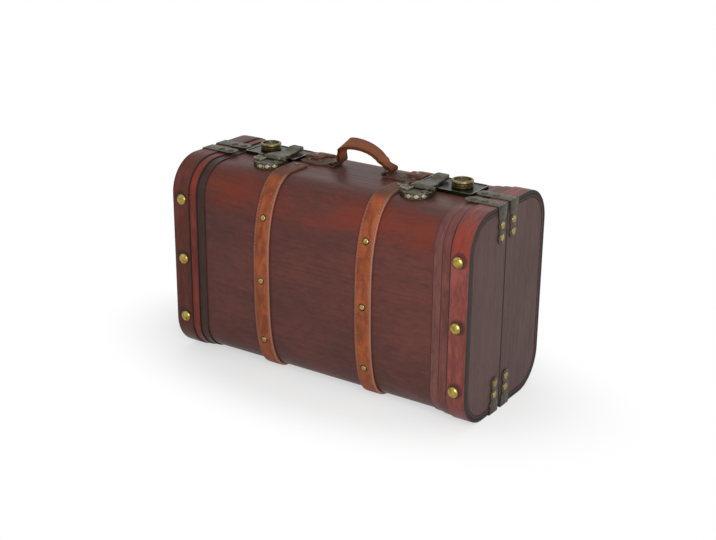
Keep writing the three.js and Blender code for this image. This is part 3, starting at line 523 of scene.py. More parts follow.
def laid(tree, under, over, share, levels=None, shares=(0, 1)):
    """One colour laid over another. The share of the upper one is given, or it goes smoothly
    from the first of two shares to the second where a pattern passes between two levels."""
    if levels is not None:
        share = add(tree, "MapRange", (share, *levels, *shares), **EASED)
    return add(tree, "Mix", {0: share, 6: under, 7: over}, 2, data_type="RGBA")


def shade(tone, factor):
    """A linear colour made lighter or darker."""
    return (*[min(1.0, channel * factor) for channel in tone[:3]], 1.0)


def mixed_tone(first, second, share):
    """The linear colour between two."""
    return (*[a + share * (b - a) for a, b in zip(first[:3], second[:3])], 1.0)


def grain_place(tree):
    """The piece's own grain place and edge share."""
    return (add(tree, "Attribute", (), "Vector", attribute_name="grain"),
            add(tree, "Attribute", (), "Fac", attribute_name="edge"))


def height_of(tree):
    """The height over the ground."""
    return add(tree, "SeparateXYZ", (add(tree, "TexCoord", (), "Object"),), 2)


def stained_wood(name, deep, warm, edge_tone, gloss=0.42, coat=0.06, glow=None, nail_pitch=None,
                 streak=0.26, glow_share=0.7):
    """Open-pored hardwood wiped with stain and varnished satin: soft patches as wide as a hand
    where the stain took redder, dabs of the brush 15 mm long, faint streaks 3 mm apart that run
    on for 170 mm, fibres half a millimetre apart, dark pores, and blackened edges. Glow is a
    lighter colour painted by height over the top curve: a painted sheen where the light from above
    falls. A nail pitch puts the dark rings of the nails on the wood."""
    material, tree = new_finish(name)
    place, edge = grain_place(tree)
    streaks = pattern(tree, place, (166.7, 3.03, 3.3333), 4, 0.6, 0.4)
    fibres = pattern(tree, place, (25, 0.4762, 1.1111), 3, 0.6)
    patches = pattern(tree, place, (90.91, 66.67, 111.11), 4, 0.6, 0.8)
    wipes = pattern(tree, place, (250, 16.667, 25), 4, 0.6, 0.5)
    dabs = pattern(tree, place, (15.385, 5.263, 7.6923), 4, 0.65, 0.5)
    pores = pattern(tree, place, (7.6923, 0.33333, 0.83333), 2, 0.5)
    waves = pattern(tree, place, (111.11, 38.46, 83.333), 2, 0.5)
    pore_levels = (0.64, 0.72)
    warmth = add(tree, "Math", (wipes, 0.3, patches), operation="MULTIPLY_ADD")
    tone = laid(tree, deep, warm, warmth, (0.45, 0.9), (0.1, 0.85))
    tone = laid(tree, tone, shade(warm, 1.15), dabs, (0.5, 0.72), (0, 0.5))
    tone = laid(tree, tone, shade(deep, 0.62), dabs, (0.28, 0.5), (0.5, 0))
    # Painted sheen: the glow colour laid by height over the top curve, where the light falls, in patches
    # that follow the stain's warmth
    if glow is not None:
        height = height_of(tree)
        rise = add(tree, "MapRange", (height, *GLOW_LEVELS[:2], 0, 1), **EASED)
        fall = add(tree, "MapRange", (height, *GLOW_LEVELS[2:], 1, 0), **EASED)
        rubbed = add(tree, "MapRange", (warmth, 0.42, 0.8, 0.08, glow_share), **EASED)
        on_curve = add(tree, "Math", (rise, fall), operation="MULTIPLY")
        tone = laid(tree, tone, glow, add(tree, "Math", (on_curve, rubbed), operation="MULTIPLY"))
    tone = laid(tree, tone, shade(deep, 0.5), streaks, (0.42, 0.75), (0, streak))
    tone = laid(tree, tone, shade(warm, 1.25), fibres, (0.35, 0.75), (0, 0.22))
    tone = laid(tree, tone, shade(deep, 0.3), pores, pore_levels, (0, 0.45))
    if nail_pitch is not None:
        tone = laid(tree, tone, shade(edge_tone, 0.55), nail_rings(tree, place, nail_pitch))
    worn_edge = add(tree, "Math", (wipes, 0.6, edge), operation="MULTIPLY_ADD")
    tone = laid(tree, tone, edge_tone, worn_edge, (0.65, 1.1))
    rough = add(tree, "MapRange", (streaks, 0.3, 0.8, gloss - 0.05, gloss + 0.1), **EASED)
    rough = add(tree, "Math", (edge, 0.2, rough), operation="MULTIPLY_ADD")
    pits = add(tree, "MapRange", (pores, *pore_levels, 0, -0.7), **EASED)
    relief = add(tree, "Math", (fibres, 0.6, pits), operation="MULTIPLY_ADD")
    fine = add(tree, "Bump", {"Height": relief, "Distance": 0.06 * MM, "Strength": 0.5})
    broad = add(tree, "Bump", {"Height": waves, "Distance": 1.2 * MM, "Strength": 0.35, "Normal": fine})
    return finished(material, {
        "Base Color": tone, "Roughness": rough, "Normal": broad, "IOR": 1.5,
        "Specular IOR Level": 0.14, "Coat Weight": coat, "Coat Roughness": 0.3,
    })


def nail_rings(tree, place, pitch):
    """Dark rings round the three nails of a strip, by the distance to the nearest one: the
    lesser of that to the middle nail, where the grain's place is zero, and of that to an outer one
    once the strip is folded over at the middle."""
    flat = add(tree, "VectorMath", (place, (1, 1, 0)), operation="MULTIPLY")
    folded = add(tree, "VectorMath", (flat,), operation="ABSOLUTE")
    middle = add(tree, "VectorMath", (flat,), "Value", operation="LENGTH")
    outer = add(tree, "VectorMath", (folded, (pitch, 0, 0)), "Value", operation="DISTANCE")
    nearest = add(tree, "Math", (middle, outer), operation="MINIMUM")
    head, ring_end = 7.6 * MM, 11.5 * MM
    return add(tree, "MapRange", (nearest, head, ring_end, 0.65, 0), **EASED)


def waxed_leather(name, base, rim_tone, dull=None):
    """Vegetable-tanned cowhide, waxed and rubbed: mottled tan with a pebbled grain of 0.7 mm,
    darker handled patches, raw edges and a soft waxy gloss. A darker colour can be laid on by
    height, given with the levels and the shares of it where it starts and where it is full."""
    material, tree = new_finish(name)
    place, edge = grain_place(tree)
    mottle = pattern(tree, place, (22.22, 11.111, 11.111), 4, 0.6, 0.6)
    rubbed = pattern(tree, place, (6.25, 3.3333, 3.3333), 3, 0.6)
    spread = add(tree, "Mapping", {"Vector": place, "Scale": scales(0.714286, 0.714286, 0.714286)})
    pebbles = add(tree, "TexVoronoi", {"Vector": spread, "Scale": 1.0}, feature="DISTANCE_TO_EDGE")
    tone = laid(tree, shade(base, 0.62), shade(base, 1.18), mottle, (0.35, 0.68))
    tone = laid(tree, tone, shade(base, 1.5), rubbed, (0.5, 0.78), (0, 0.3))
    tone = laid(tree, tone, shade(base, 0.5), pebbles, (0, 0.12), (0.3, 0))
    # A darker colour laid on by height; on the straps it is painted shade over the top face
    if dull is not None:
        dull_tone, *levels = dull
        share = add(tree, "MapRange", (height_of(tree), *levels), **EASED)
        tone = laid(tree, tone, dull_tone, share)
        rim_tone = laid(tree, rim_tone, shade(dull_tone, 1.7), share)
    tone = laid(tree, tone, shade(base, 0.5), edge, (0.2, 0.5), (0, 0.45))
    rim = add(tree, "Math", (rubbed, 0.2, edge), operation="MULTIPLY_ADD")
    tone = laid(tree, tone, rim_tone, rim, (0.82, 1.05), (0, 0.65))
    rough = add(tree, "MapRange", (mottle, 0.3, 0.7, 0.42, 0.6), **EASED)
    raised = add(tree, "MapRange", (pebbles, 0, 0.2, 0, 0.5), **EASED)
    relief = add(tree, "Math", (raised, rubbed), operation="ADD")
    bump = add(tree, "Bump", {"Height": relief, "Distance": 0.12 * MM, "Strength": 0.6})
    return finished(material, {
        "Base Color": tone, "Roughness": rough, "Normal": bump, "IOR": 1.46,
        "Specular IOR Level": 0.16,
    })


def linen_thread(name, base):
    """Waxed linen thread, laid in two plies: darker and lighter by a pattern along them, and matt."""
    material, tree = new_finish(name)
    plies = pattern(tree, grain_place(tree)[0], (0.3846, 1.1111, 1.1111), 2)
    tone = laid(tree, shade(base, 0.35), shade(base, 1.0), plies)
    return finished(material, {"Base Color": tone, "Roughness": 0.7})


def old_metal(name, base, patina, wear, rough=(0.3, 0.5), pits=0.5, rubbed_level=None):
    """Cast or pressed copper alloy with a chemical patina, rubbed bright where hands and cloth
    reach it: blotches of 4 mm, specks of 1 mm, fine pits, bright edges. The rubbed level is
    that of a plate's raised rim."""
    material, tree = new_finish(name)
    place = add(tree, "TexCoord", (), "Object")
    edge = add(tree, "Attribute", (), "Fac", attribute_name="edge")
    blotches = pattern(tree, place, (4.1667, 4.1667, 4.1667), 5, 0.7, 0.3)
    specks = pattern(tree, place, (1.1111, 1.1111, 1.1111), 3, 0.6)
    tone = laid(tree, patina, base, blotches, (0.32, 0.7))
    tone = laid(tree, tone, shade(patina, 0.7), specks, (0.52, 0.72), (0, 0.5))
    rub = add(tree, "Math", (blotches, 1.1, edge), operation="MULTIPLY_ADD")
    rub = add(tree, "MapRange", (rub, 1.05, 1.55, 0, 0.85), **EASED)
    if rubbed_level is not None:
        start, full = rubbed_level - 0.4 * MM, rubbed_level - 0.1 * MM
        rim = add(tree, "MapRange", (height_of(tree), start, full, 0, 0.7), **EASED)
        rub = add(tree, "Math", (rub, rim), operation="MAXIMUM")
    relief = add(tree, "Math", (specks, blotches), operation="ADD")
    return finished(material, {
        "Base Color": laid(tree, tone, wear, rub),
        "Roughness": add(tree, "MapRange", (blotches, 0.3, 0.7, rough[1], rough[0]), **EASED),
        "Normal": add(tree, "Bump", {"Height": relief, "Distance": 0.12 * MM, "Strength": pits}),
        "Metallic": 0.92,
    })


def lining_cloth(name, base):
    """Plain-woven cotton glued to the wood: crossed threads 0.8 mm apart, slubs 2.5 mm thick
    that run on for 33 mm, and no gloss."""
    material, tree = new_finish(name)
    place = add(tree, "TexCoord", (), "Object")
    spread = add(tree, "Mapping", {"Vector": place, "Scale": scales(0.8, 0.8, 0.8)})
    weave = add(tree, "TexChecker", {"Vector": spread, "Scale": 1.0}, "Fac")
    slubs = pattern(tree, place, (33.33, 2.5, 16.67), 3)
    tone = laid(tree, shade(base, 0.7), shade(base, 1.3), slubs)
    # Painted shade: the weave's hollows a quarter darker
    shaded_hollows = add(tree, "Math", (weave, 0.25), operation="MULTIPLY")
    return finished(material, {
        "Base Color": laid(tree, tone, shade(base, 0.5), shaded_hollows),
        "Roughness": 0.92,
        "Normal": add(tree, "Bump", {"Height": weave, "Distance": 0.15 * MM, "Strength": 0.4}),
    })


finishes = {}


def make_finishes():
    """All the object's materials, by the names that the pieces ask for."""
    tone = colours()
    # How strong the painted sheen over the top curve is on the field, the left middle strips and the right
    # nailed strips
    field_glow, stripe_glow, nailed_glow = (shade(tone.glow, share) for share in (0.48, 0.7, 0.5))
    finishes["field"] = stained_wood(
        "varnished_mahogany_ply", tone.field, tone.field_red, tone.edge, glow=field_glow,
        glow_share=0.6)
    finishes["end"] = stained_wood(
        "dull_stained_ply", shade(tone.end, 0.88), shade(tone.end, 1.2), tone.edge, 0.5, 0.04,
        streak=0.08)
    pitch = sizes().nail_pitch
    brown_rim, purple_rim = shade(tone.middle_right, 0.45), shade(tone.inner_right, 0.45)
    for place, name, base, rim, glow, rings in (
        ("nailed_left", "umber_band_wood", tone.band_dark, tone.edge, None, pitch),
        ("middle_left", "red_stained_strip", tone.stripe, tone.edge, stripe_glow, None),
        ("inner_left", "dark_stained_strip", tone.inner, tone.edge, None, None),
        ("nailed_right", "cherry_band_wood", tone.band_red, tone.edge, nailed_glow, pitch),
        ("middle_right", "brown_stained_strip", tone.middle_right, brown_rim, None, None),
        ("inner_right", "purple_stained_strip", tone.inner_right, purple_rim, None, None),
    ):
        finishes[place] = stained_wood(
            name, shade(base, 0.6), shade(base, 1.4), rim, glow=glow, nail_pitch=rings)
    rim, tab, handle = tone.cut_edge, tone.tab_leather, tone.handle_leather
    # Painted shade: the straps and their raw edges take the darker tab colour over the top face
    shaded_top = (tab, FIELD_TOP - 5 * MM, FIELD_TOP + 3 * MM, 0.0, 0.85)
    # The handle goes darker towards its lower ends, by height
    at_rings = (shade(handle, 0.2), FIELD_TOP + 18 * MM, FIELD_TOP + 12 * MM, 0.0, 0.8)
    finishes["leather"] = waxed_leather("waxed_tan_leather", tone.leather, rim, shaded_top)
    finishes["tab_leather"] = waxed_leather("dull_brown_leather", tab, shade(rim, 0.4))
    finishes["handle_leather"] = waxed_leather("handled_leather", handle, shade(handle, 0.3), at_rings)
    finishes["thread"] = linen_thread("waxed_linen_thread", rim)
    finishes["handle_thread"] = linen_thread("dark_linen_thread", shade(handle, 0.45))
    bronze, brass = tone.bronze, tone.brass
    rivet, knob = mixed_tone(brass, bronze, 0.45), mixed_tone(brass, bronze, 0.7)
    plate_top = corners("latch_plate_left")[1][2]
    for place, name, base, shades, *settings in (
        ("bronze", "antique_bronze", bronze, (1, 0.5, 4.2), (0.36, 0.52)),
        ("plate_bronze", "blackened_bronze_plate", bronze, (0.34, 0.2, 2.6), (0.26, 0.4), 0.3, plate_top),
        ("brass", "aged_brass", brass, (1, 0.42, 1.5), (0.22, 0.4), 0.35),
        ("rivet_brass", "rubbed_rivet_brass", rivet, (1.5, 0.6, 2.2), (0.2, 0.36), 0.3),
        ("knob_brass", "dark_cast_brass", knob, (0.42, 0.2, 1.2), (0.32, 0.52)),
    ):
        finishes[place] = old_metal(name, *(shade(base, share) for share in shades), *settings)
    finishes["cloth"] = lining_cloth("glued_cotton_lining", tone.cloth)


# Wooden pieces


def make_shell(leaf):
    """Bent plywood: from end to end outside and back inside, each place along the case has its
    own section, held by the bands at the ends and relaxed in the middle."""
    side = SIDES[leaf]
    ease, end_strip, stations = 0.3 * MM, 4 * MM, 56
    reach = np.concatenate([[CASE_END, CASE_END - ease], np.linspace(CASE_END - end_strip, 0, stations)])
    outside = np.concatenate([reach, -reach[-2::-1]])
    across = np.concatenate([outside, outside[::-1]])
    skin = np.zeros(len(outside))
    skin[[0, -1]] = -ease
    lifts = np.concatenate([skin, -sizes().shell_wall - skin])
    points = sheet_grid(side, PARTINGS[leaf], PARTINGS[leaf], across, lifts)
    rows, columns = points.shape[:2]
    along = running_length(points[:, len(reach) - 1])
    grain = np.dstack([np.broadcast_to(across, (rows, columns)),
                       np.broadcast_to(along[:, None], (rows, columns)),
                       np.broadcast_to(side + lifts, (rows, columns))])
    edge = np.zeros(columns)
    edge[[0, 1, len(outside) - 2, len(outside) - 1]] = 1
    edge[len(outside):] = 0.5
    edge = np.broadcast_to(edge, (rows, columns))
    surface = Surface(points, tube_faces(rows, columns), grain, edge)
    put_mesh(f"{leaf}_shell_ply", [surface], "field", BODIES[leaf], [f"{leaf}_shell"])


def make_end_panel(leaf, hand):
    """A board cut to the leaf's end view, closed by the parting line, with its rims eased, drawn
    up along X."""
    side = HANDS[hand]
    ease, rim = 0.5 * MM, 1.2 * MM
    path, _ = leaf_path(SIDES[leaf], panel_high[2] - FIELD_TOP, PARTINGS[leaf], PARTINGS[leaf])
    levels, insets, edge = eased_levels(panel_low[0], panel_high[0], ease, rim)
    surface = drawn_up(path[:, 1:], levels, insets, edge, (1, 0), 3 * side + SIDES[leaf])
    placed = surface.moved(np.zeros(3), Y, Z, side * X)
    put_mesh(f"{leaf}_end_board_{hand}", [placed], "end", BODIES[leaf], [f"{leaf}_end_panel_{hand}"])


def make_lining(leaf):
    """A cloth-lined tray: the sheet's sections drawn from end to end outside and back inside,
    with a narrow rim between the two at the parting plane."""
    side = SIDES[leaf]
    outer_lift = lining_high[2] - FIELD_TOP
    cloth, stations = 1.2 * MM, 41
    outer = np.linspace(-1, 1, stations)
    across = np.concatenate([outer * lining_high[0], -outer * (lining_high[0] - cloth)])
    lifts = outer_lift - cloth * (np.arange(2 * stations) >= stations)
    points = sheet_grid(side, PARTINGS[leaf], PARTINGS[leaf], across, lifts).transpose(1, 0, 2)
    rings, count = points.shape[:2]
    grid = grid_faces(rings, count, wrap_columns=False)
    wall = np.arange(len(grid)) // (count - 1) != stations - 1
    top = np.arange(rings)[None] * count
    last = count - 1
    near, far, inner_far, inner_near = 0, (stations - 1) * count, stations * count, (rings - 1) * count
    ends = np.array([
        [near, inner_near, inner_near + last, near + last],
        [far, far + last, inner_far + last, inner_far],
    ])
    cap = np.arange(count)[None]
    caps = [cap[:, ::-1] + near, cap + far, cap[:, ::-1] + inner_far, cap + inner_near]
    surface = Surface(points, [grid[wall], top, top[:, ::-1] + last, ends, *caps])
    put_mesh(f"{leaf}_lining_cloth", [surface], "cloth", BODIES[leaf], [f"{leaf}_lining"])


def make_band(leaf, hand):
    """Three strips of wood laid beside each other, each an eased section carried round the
    leaf, the outermost the thickest."""
    size = sizes()
    side = SIDES[leaf]
    stop = PARTINGS[leaf] + side * size.hinge_relief
    path, normal = leaf_path(side, 0, PARTINGS[leaf], stop)
    run = running_length(path)[-1]
    outer = CASE_END
    widths = [size.nailed_strip, size.middle_strip, BAND_WIDTH - size.nailed_strip - size.middle_strip]
    rises = [BAND_RISE, size.middle_rise, size.inner_rise]
    crown = 0.15 * MM
    top_shares = np.array([0.0, 0.06, 0.5, 0.94, 1.0])
    for index, (place, width, rise) in enumerate(zip(("nailed", "middle", "inner"), widths, rises)):
        ease = min(size.strip_ease, (rise - SEAT_GAP) * 0.45)
        section = eased_rectangle(width, SEAT_GAP, rise, ease, 3, top_shares, crown)
        edge = corner_edge(3, len(top_shares))
        edge[4:9] = [0.8, 0.12, 0, 0.12, 0.8]
        middle = HANDS[hand] * (outer - width / 2) * X
        surface = carried(path + middle, X, normal, section, edge, True, piece=10 * index + side)
        surface.grain[:, 0] -= run / 2
        put_mesh(f"{leaf}_band_{place}_{hand}", [surface], f"{place}_{hand}", BODIES[leaf],
                 [f"{leaf}_band_{hand}"])
        outer -= width


def dome_profile(radius, height, rim, steps):
    """Radii and heights of a domed head: a short upright rim and a quarter of an ellipse."""
    turn = np.linspace(0, np.pi / 2, steps)
    dome = np.stack([radius * np.cos(turn), rim + (height - rim) * np.sin(turn)], axis=1)
    return np.concatenate([[[0, 0], [radius * 0.96, 0], [radius, rim * 0.5]], dome])


def make_nail(node):
    """A domed upholstery nail, lightly hammered: an ellipse turned about Y, with shallow waves
    of radius and turn."""
    low, high = corners(node)
    middle = (low + high) / 2
    radius, height = (high[0] - low[0]) / 2, high[1] - low[1]
    leaf = node.split("_")[0]
    side = SIDES[leaf]
    foot = high[1] if side < 0 else low[1]
    # The dents lie another way on each nail
    phase = middle[2] * 90 + middle[0] * 13
    rim, dent, dents = 0.5 * MM, 0.12 * MM, 5

    def hammered(distance, turn):
        """Dents as waves of the turn that fade out at the middle and at the rim."""
        share = distance / radius
        return -dent * (1 + np.sin(turn * dents + phase + 4 * share)) * share * (1 - share) * 2

    surface = turned(dome_profile(radius, height, rim, 12), 36, hammered)
    placed = surface.moved(np.array([middle[0], foot, middle[2]]), X, -side * Z, side * Y)
    put_mesh(f"{node}_head", [placed], "brass", BODIES[leaf], [node], 60)


# Corner brackets


def bracket_half_width(distance, half, neck, lobe, places):
    """Half the end leg's width at a distance from the corner: its straight root, a neck, and a
    round lobe about each rivet, whichever reaches furthest."""
    root_end, narrowing = 18 * MM, 5 * MM
    root = neck + (half - neck) * smooth((root_end - distance) / narrowing)
    body = np.where(distance < places[1], root, 0)
    reaches = [np.sqrt(np.maximum(lobe ** 2 - (distance - place) ** 2, 0)) for place in places]
    return np.maximum(body, np.maximum(*reaches))


def leg_reach(last, end_radius):
    """Distances along a leg: even ones to the last rivet, then closer ones round the end."""
    first, straight_steps, end_steps = 1.2 * MM, 54, 12
    tail = last + end_radius * np.sin(np.linspace(0, np.pi / 2, end_steps))[1:-1]
    return np.concatenate([np.linspace(first, last, straight_steps), tail])


def make_bracket(leaf, level, hand):
    """A pressed corner bracket: a thin section whose width follows the outline, carried down
    one leg, round the bend at the corner and along the other leg. The leg on the band is a
    plain strip with a round end, the leg on the case end is waisted. Rivets are small domes."""
    size = sizes()
    node = f"{leaf}_bracket_{level}_{hand}"
    low, high = corners(node)
    out = HANDS[hand]
    up = 1 if level == "top" else -1
    rivet_height, rivet_rim = 1.3 * MM, 0.3 * MM
    thickness, bend_radius, rim = size.bracket_thickness, 0.9 * MM, 0.3 * MM
    neck, lobe, places = 6 * MM, 8.4 * MM, np.array([24, 39]) * MM
    half, row = (high[1] - low[1]) / 2, (high[1] + low[1]) / 2
    end_face = max(high[0], -low[0]) - rivet_height
    flat_face = high[2] - rivet_height if up > 0 else low[2]
    flat_reach, end_reach = leg_reach(places[1], half), leg_reach(places[1], lobe)
    middle_radius = bend_radius - thickness / 2
    centre_x, centre_z = end_face - bend_radius, flat_face - up * bend_radius
    flat_leg = np.stack([out * (end_face - thickness - flat_reach[::-1]), 0 * flat_reach,
                         0 * flat_reach + flat_face - up * thickness / 2], axis=1)
    turn = np.linspace(0, np.pi / 2, 6)
    bend = np.stack([
        out * (centre_x + middle_radius * np.sin(turn)), np.zeros_like(turn),
        centre_z + up * middle_radius * np.cos(turn)], axis=1)
    end_leg = np.stack([0 * end_reach + out * (end_face - thickness / 2), 0 * end_reach,
                        flat_face - up * (thickness + end_reach)], axis=1)
    path = np.concatenate([flat_leg, bend, end_leg]) + row * Y
    normals = np.concatenate([
        np.tile(up * Z, (len(flat_reach), 1)),
        np.stack([out * np.sin(turn), np.zeros_like(turn), up * np.cos(turn)], axis=1),
        np.tile(out * X, (len(end_reach), 1)),
    ])
    past = np.maximum(flat_reach - places[1], 0)
    flat_halves = np.sqrt(half ** 2 - past ** 2)
    end_halves = bracket_half_width(end_reach, half, neck, lobe, places)
    widths = 2 * np.concatenate([flat_halves[::-1], np.full(len(turn), half), end_halves])
    ease = np.minimum(rim, widths / 5)
    section = eased_rectangle(widths, -thickness / 2, thickness / 2, ease, 2)
    surface = carried(path, Y, normals, section, corner_edge(2) * 0.5, piece=out)
    put_mesh(f"{node}_plate", [surface], "bronze", BODIES[leaf], [node])
    head = turned(dome_profile(size.bracket_rivet, rivet_height, rivet_rim, 6), 20)
    ends = [np.array([out * end_face, row, flat_face - up * (thickness + place)]) for place in places]
    heads = [head.moved(end, Y, Z, out * X) for end in ends]
    put_mesh(f"{node}_rivets", heads, "rivet_brass", BODIES[leaf], [node], 60)
    if up > 0:
        flats = [np.array([out * (end_face - thickness - place), row, flat_face]) for place in places]
        heads = [head.moved(flat, X, Y, Z) for flat in flats]
        metal = "bronze" if hand == "right" else "knob_brass"
        put_mesh(f"{node}_top_rivets", heads, metal, BODIES[leaf], [node], 60)


# Leather pieces


def leather_section(width, low, high, ease, crease, depth, crown=0.0):
    """An eased strip with a pressed line near each edge and a crown between them. The line lies
    as far from the edge as the crease says and is as deep as given."""
    half_line = 0.5 * MM
    width, low, high = (np.asarray(part, float) for part in (width, low, high))
    flat = width / 2 - ease
    base = eased_rectangle(width, low, high, ease * np.ones_like(width), 3, np.zeros(11))
    across, height = base[..., 0], base[..., 1]
    inner = flat - (crease - ease)
    steps = [flat * 0.999, inner + half_line, inner, inner - half_line, inner * 0.55]
    rises = [0, 0, -depth, 0.3 * crown, 0.85 * crown]
    steps += [0 * inner] + [-step for step in steps[::-1]]
    rises += [crown] + rises[::-1]
    for index, (step, rise) in enumerate(zip(steps, rises)):
        across[..., 4 + index] = step
        height[..., 4 + index] = high + rise
    return np.stack([across, height], axis=-1)


# How much of an edge each point of that section is
LEATHER_EDGE = np.concatenate([
    np.ones(4), [0.9, 0.45, 0, 0, 0, 0, 0, 0, 0, 0.45, 0.9], np.ones(12)])


def strap_path(leaf):
    """The strap's path on the field. The back strap ends on the handle's tab: its top end is
    raised by the tab's thickness with a smooth step."""
    side = SIDES[leaf]
    spacing, room, step_run = 1.5 * MM, 1 * MM, 7 * MM
    stop = PARTINGS[leaf] + side * sizes().hinge_relief
    if leaf == "front":
        return strap_line(side, corners("front_strap_right")[1][1], stop, spacing)
    tab_low, tab_high = corners("handle_tab_right")
    middle = (tab_low[1] + tab_high[1]) / 2
    path, normal = strap_line(side, middle + SEAT_GAP, stop, spacing)
    step = corners("back_strap_right")[1][2] - FIELD_TOP - STRAP_TOP
    share = smooth((tab_high[1] + room + step_run - path[:, 1]) / step_run)
    path[:, 2] += step * share * (normal[:, 2] > 0.9)
    return path, normal


def stitches(path, sideways, upward, offsets, height, start, stop):
    """Rows of stitches: one small rod with rounded ends, copied to even places on the path.
    A rod's point is its place, plus its length along the path, plus its round section."""
    thread_radius = 0.42 * MM
    run = running_length(path)
    places = np.arange(start, run[-1] - stop, sizes().stitch_pitch)
    middle, side, up = (
        np.stack([np.interp(places, run, part[:, axis]) for axis in range(3)], axis=1)
        for part in (path, np.broadcast_to(sideways, path.shape), np.broadcast_to(upward, path.shape))
    )
    forward = np.cross(side, up)
    along = np.array([-0.5, -0.32, 0.32, 0.5]) * sizes().stitch_length
    radius = np.array([0.35, 1, 1, 0.35]) * thread_radius
    turn = np.linspace(0, 2 * np.pi, 6, endpoint=False)
    rod_along, rod_side, rod_up = np.broadcast_arrays(
        along[:, None], radius[:, None] * np.cos(turn), radius[:, None] * np.sin(turn) * 0.8)
    rods = sum(
        part[..., None] * way[:, None, None]
        for part, way in ((rod_along, forward), (rod_side, side), (rod_up, up)))
    copies = np.concatenate([
        (middle + offset * side + height * up)[:, None, None] + rods for offset in offsets])
    starts = np.arange(len(copies))[:, None, None] * rod_along.size
    blocks = [(block + starts).reshape(-1, block.shape[1]) for block in tube_faces(*rod_along.shape)]
    return Surface(copies, blocks)


def make_strap(leaf, hand):
    """A leather strap round one leaf, with its stitches and rivets."""
    size = sizes()
    ease, crease_depth, crown = 0.8 * MM, 0.28 * MM, 0.25 * MM
    sunk, first_stitch, last_stitch, end_rivet = 0.1 * MM, 6 * MM, 8 * MM, 9 * MM
    nail_to_rivet, rivet_height, rivet_rim = 3 * MM, 1.5 * MM, 0.3 * MM
    dark_disc_margin, dark_disc_height, dark_disc_rim, lift = 1.2 * MM, 0.25 * MM, 0.1 * MM, 0.2 * MM
    low, high = corners(f"{leaf}_strap_{hand}")
    middle, width = (low[0] + high[0]) / 2, high[0] - low[0]
    path, normal = strap_path(leaf)
    path = path + middle * X
    run = running_length(path)
    section = leather_section(width, SEAT_GAP, STRAP_TOP, ease, size.strap_crease, crease_depth, crown)
    strap = carried(path, X, normal, section, LEATHER_EDGE, True, piece=middle * 9 + SIDES[leaf])
    body = BODIES[leaf]
    node = f"{leaf}_strap_{hand}"
    put_mesh(f"{node}_leather", [strap], "leather", body, [node])
    offset = width / 2 - size.strap_crease
    sewn = stitches(path, X, normal, (-offset, offset), STRAP_TOP - sunk, first_stitch, last_stitch)
    put_mesh(f"{node}_stitches", [sewn], "thread", body)
    front_levels = np.array([corners(f"front_nail_left_{row}") for row in ("low", "middle", "high")])
    levels = front_levels.mean(axis=1)[:, 2] - nail_to_rivet
    head = dome_profile(size.strap_rivet, rivet_height, rivet_rim, 6)
    # A flat dark disc round the foot of each rivet
    dark_disc = dome_profile(size.strap_rivet + dark_disc_margin, dark_disc_height, dark_disc_rim, 3)
    on_face = np.abs(normal[:, 1]) > 0.7
    places = [int(np.argmin(np.abs(path[:, 2] - level) + ~on_face)) for level in levels]
    end = int(np.searchsorted(run, end_rivet))

    def set_on(profile, place):
        """A profile turned about the strap's normal at a place of its path."""
        foot = path[place] + (STRAP_TOP + lift) * normal[place]
        return turned(profile, 20).moved(foot, X, np.cross(normal[place], X), normal[place])

    heads = [set_on(head, place) for place in places]
    dull = [set_on(dark_disc, place) for place in places] + [set_on(0.8 * head, end)]
    put_mesh(f"{node}_rivets", heads, "rivet_brass", body, (), 60)
    put_mesh(f"{node}_dark_discs", dull, "plate_bronze", body, (), 60)


def folded_band(line, loop_radius, layer, loops):
    """Centre line of a strap folded back on itself round one or two bars. Each layer lies half
    a layer off the middle line and swells out towards the bar's radius within 4.5 times that,
    and a half circle joins the two. Returned with directions square to it and how far each
    point lies along the line."""
    run = running_length(line)
    tangent = np.gradient(line, axis=0)
    tangent /= np.linalg.norm(tangent, axis=1, keepdims=True)
    square = np.stack([-tangent[:, 1], tangent[:, 0]], axis=1)
    swell = smooth(1 - run / (4.5 * loop_radius))
    if loops > 1:
        swell = np.maximum(swell, smooth(1 - (run[-1] - run) / (4.5 * loop_radius)))
    gap = layer / 2 + (loop_radius - layer / 2) * swell
    outer, inner = line + gap[:, None] * square, line - gap[:, None] * square
    turn = np.linspace(0, np.pi, 15)[1:-1, None]

    def half_circle(centre, first, away):
        """Points round a bar: the cosine of the turn one way and its sine the way out."""
        return centre + loop_radius * (np.cos(turn) * first + np.sin(turn) * away)

    parts = [half_circle(line[0], -square[0], -tangent[0]), outer]
    runs = [np.zeros(len(turn)), run]
    if loops > 1:
        parts += [half_circle(line[-1], square[-1], tangent[-1]), inner[::-1]]
        runs += [np.full(len(turn), run[-1]), run[::-1]]
    else:
        parts.insert(0, inner[::-1])
        runs.insert(0, run[::-1])
    points, runs = np.concatenate(parts), np.concatenate(runs)
    ahead = np.gradient(points, axis=0)
    if loops > 1:
        ahead = np.roll(points, -1, axis=0) - np.roll(points, 1, axis=0)
    ahead /= np.linalg.norm(ahead, axis=1, keepdims=True)
    return points, np.stack([-ahead[:, 1], ahead[:, 0]], axis=1), runs


def upright(flat, row=0.0):
    """Points of X and Z as points in space at a row."""
    return np.stack([flat[:, 0], np.full(len(flat), row), flat[:, 1]], axis=1)


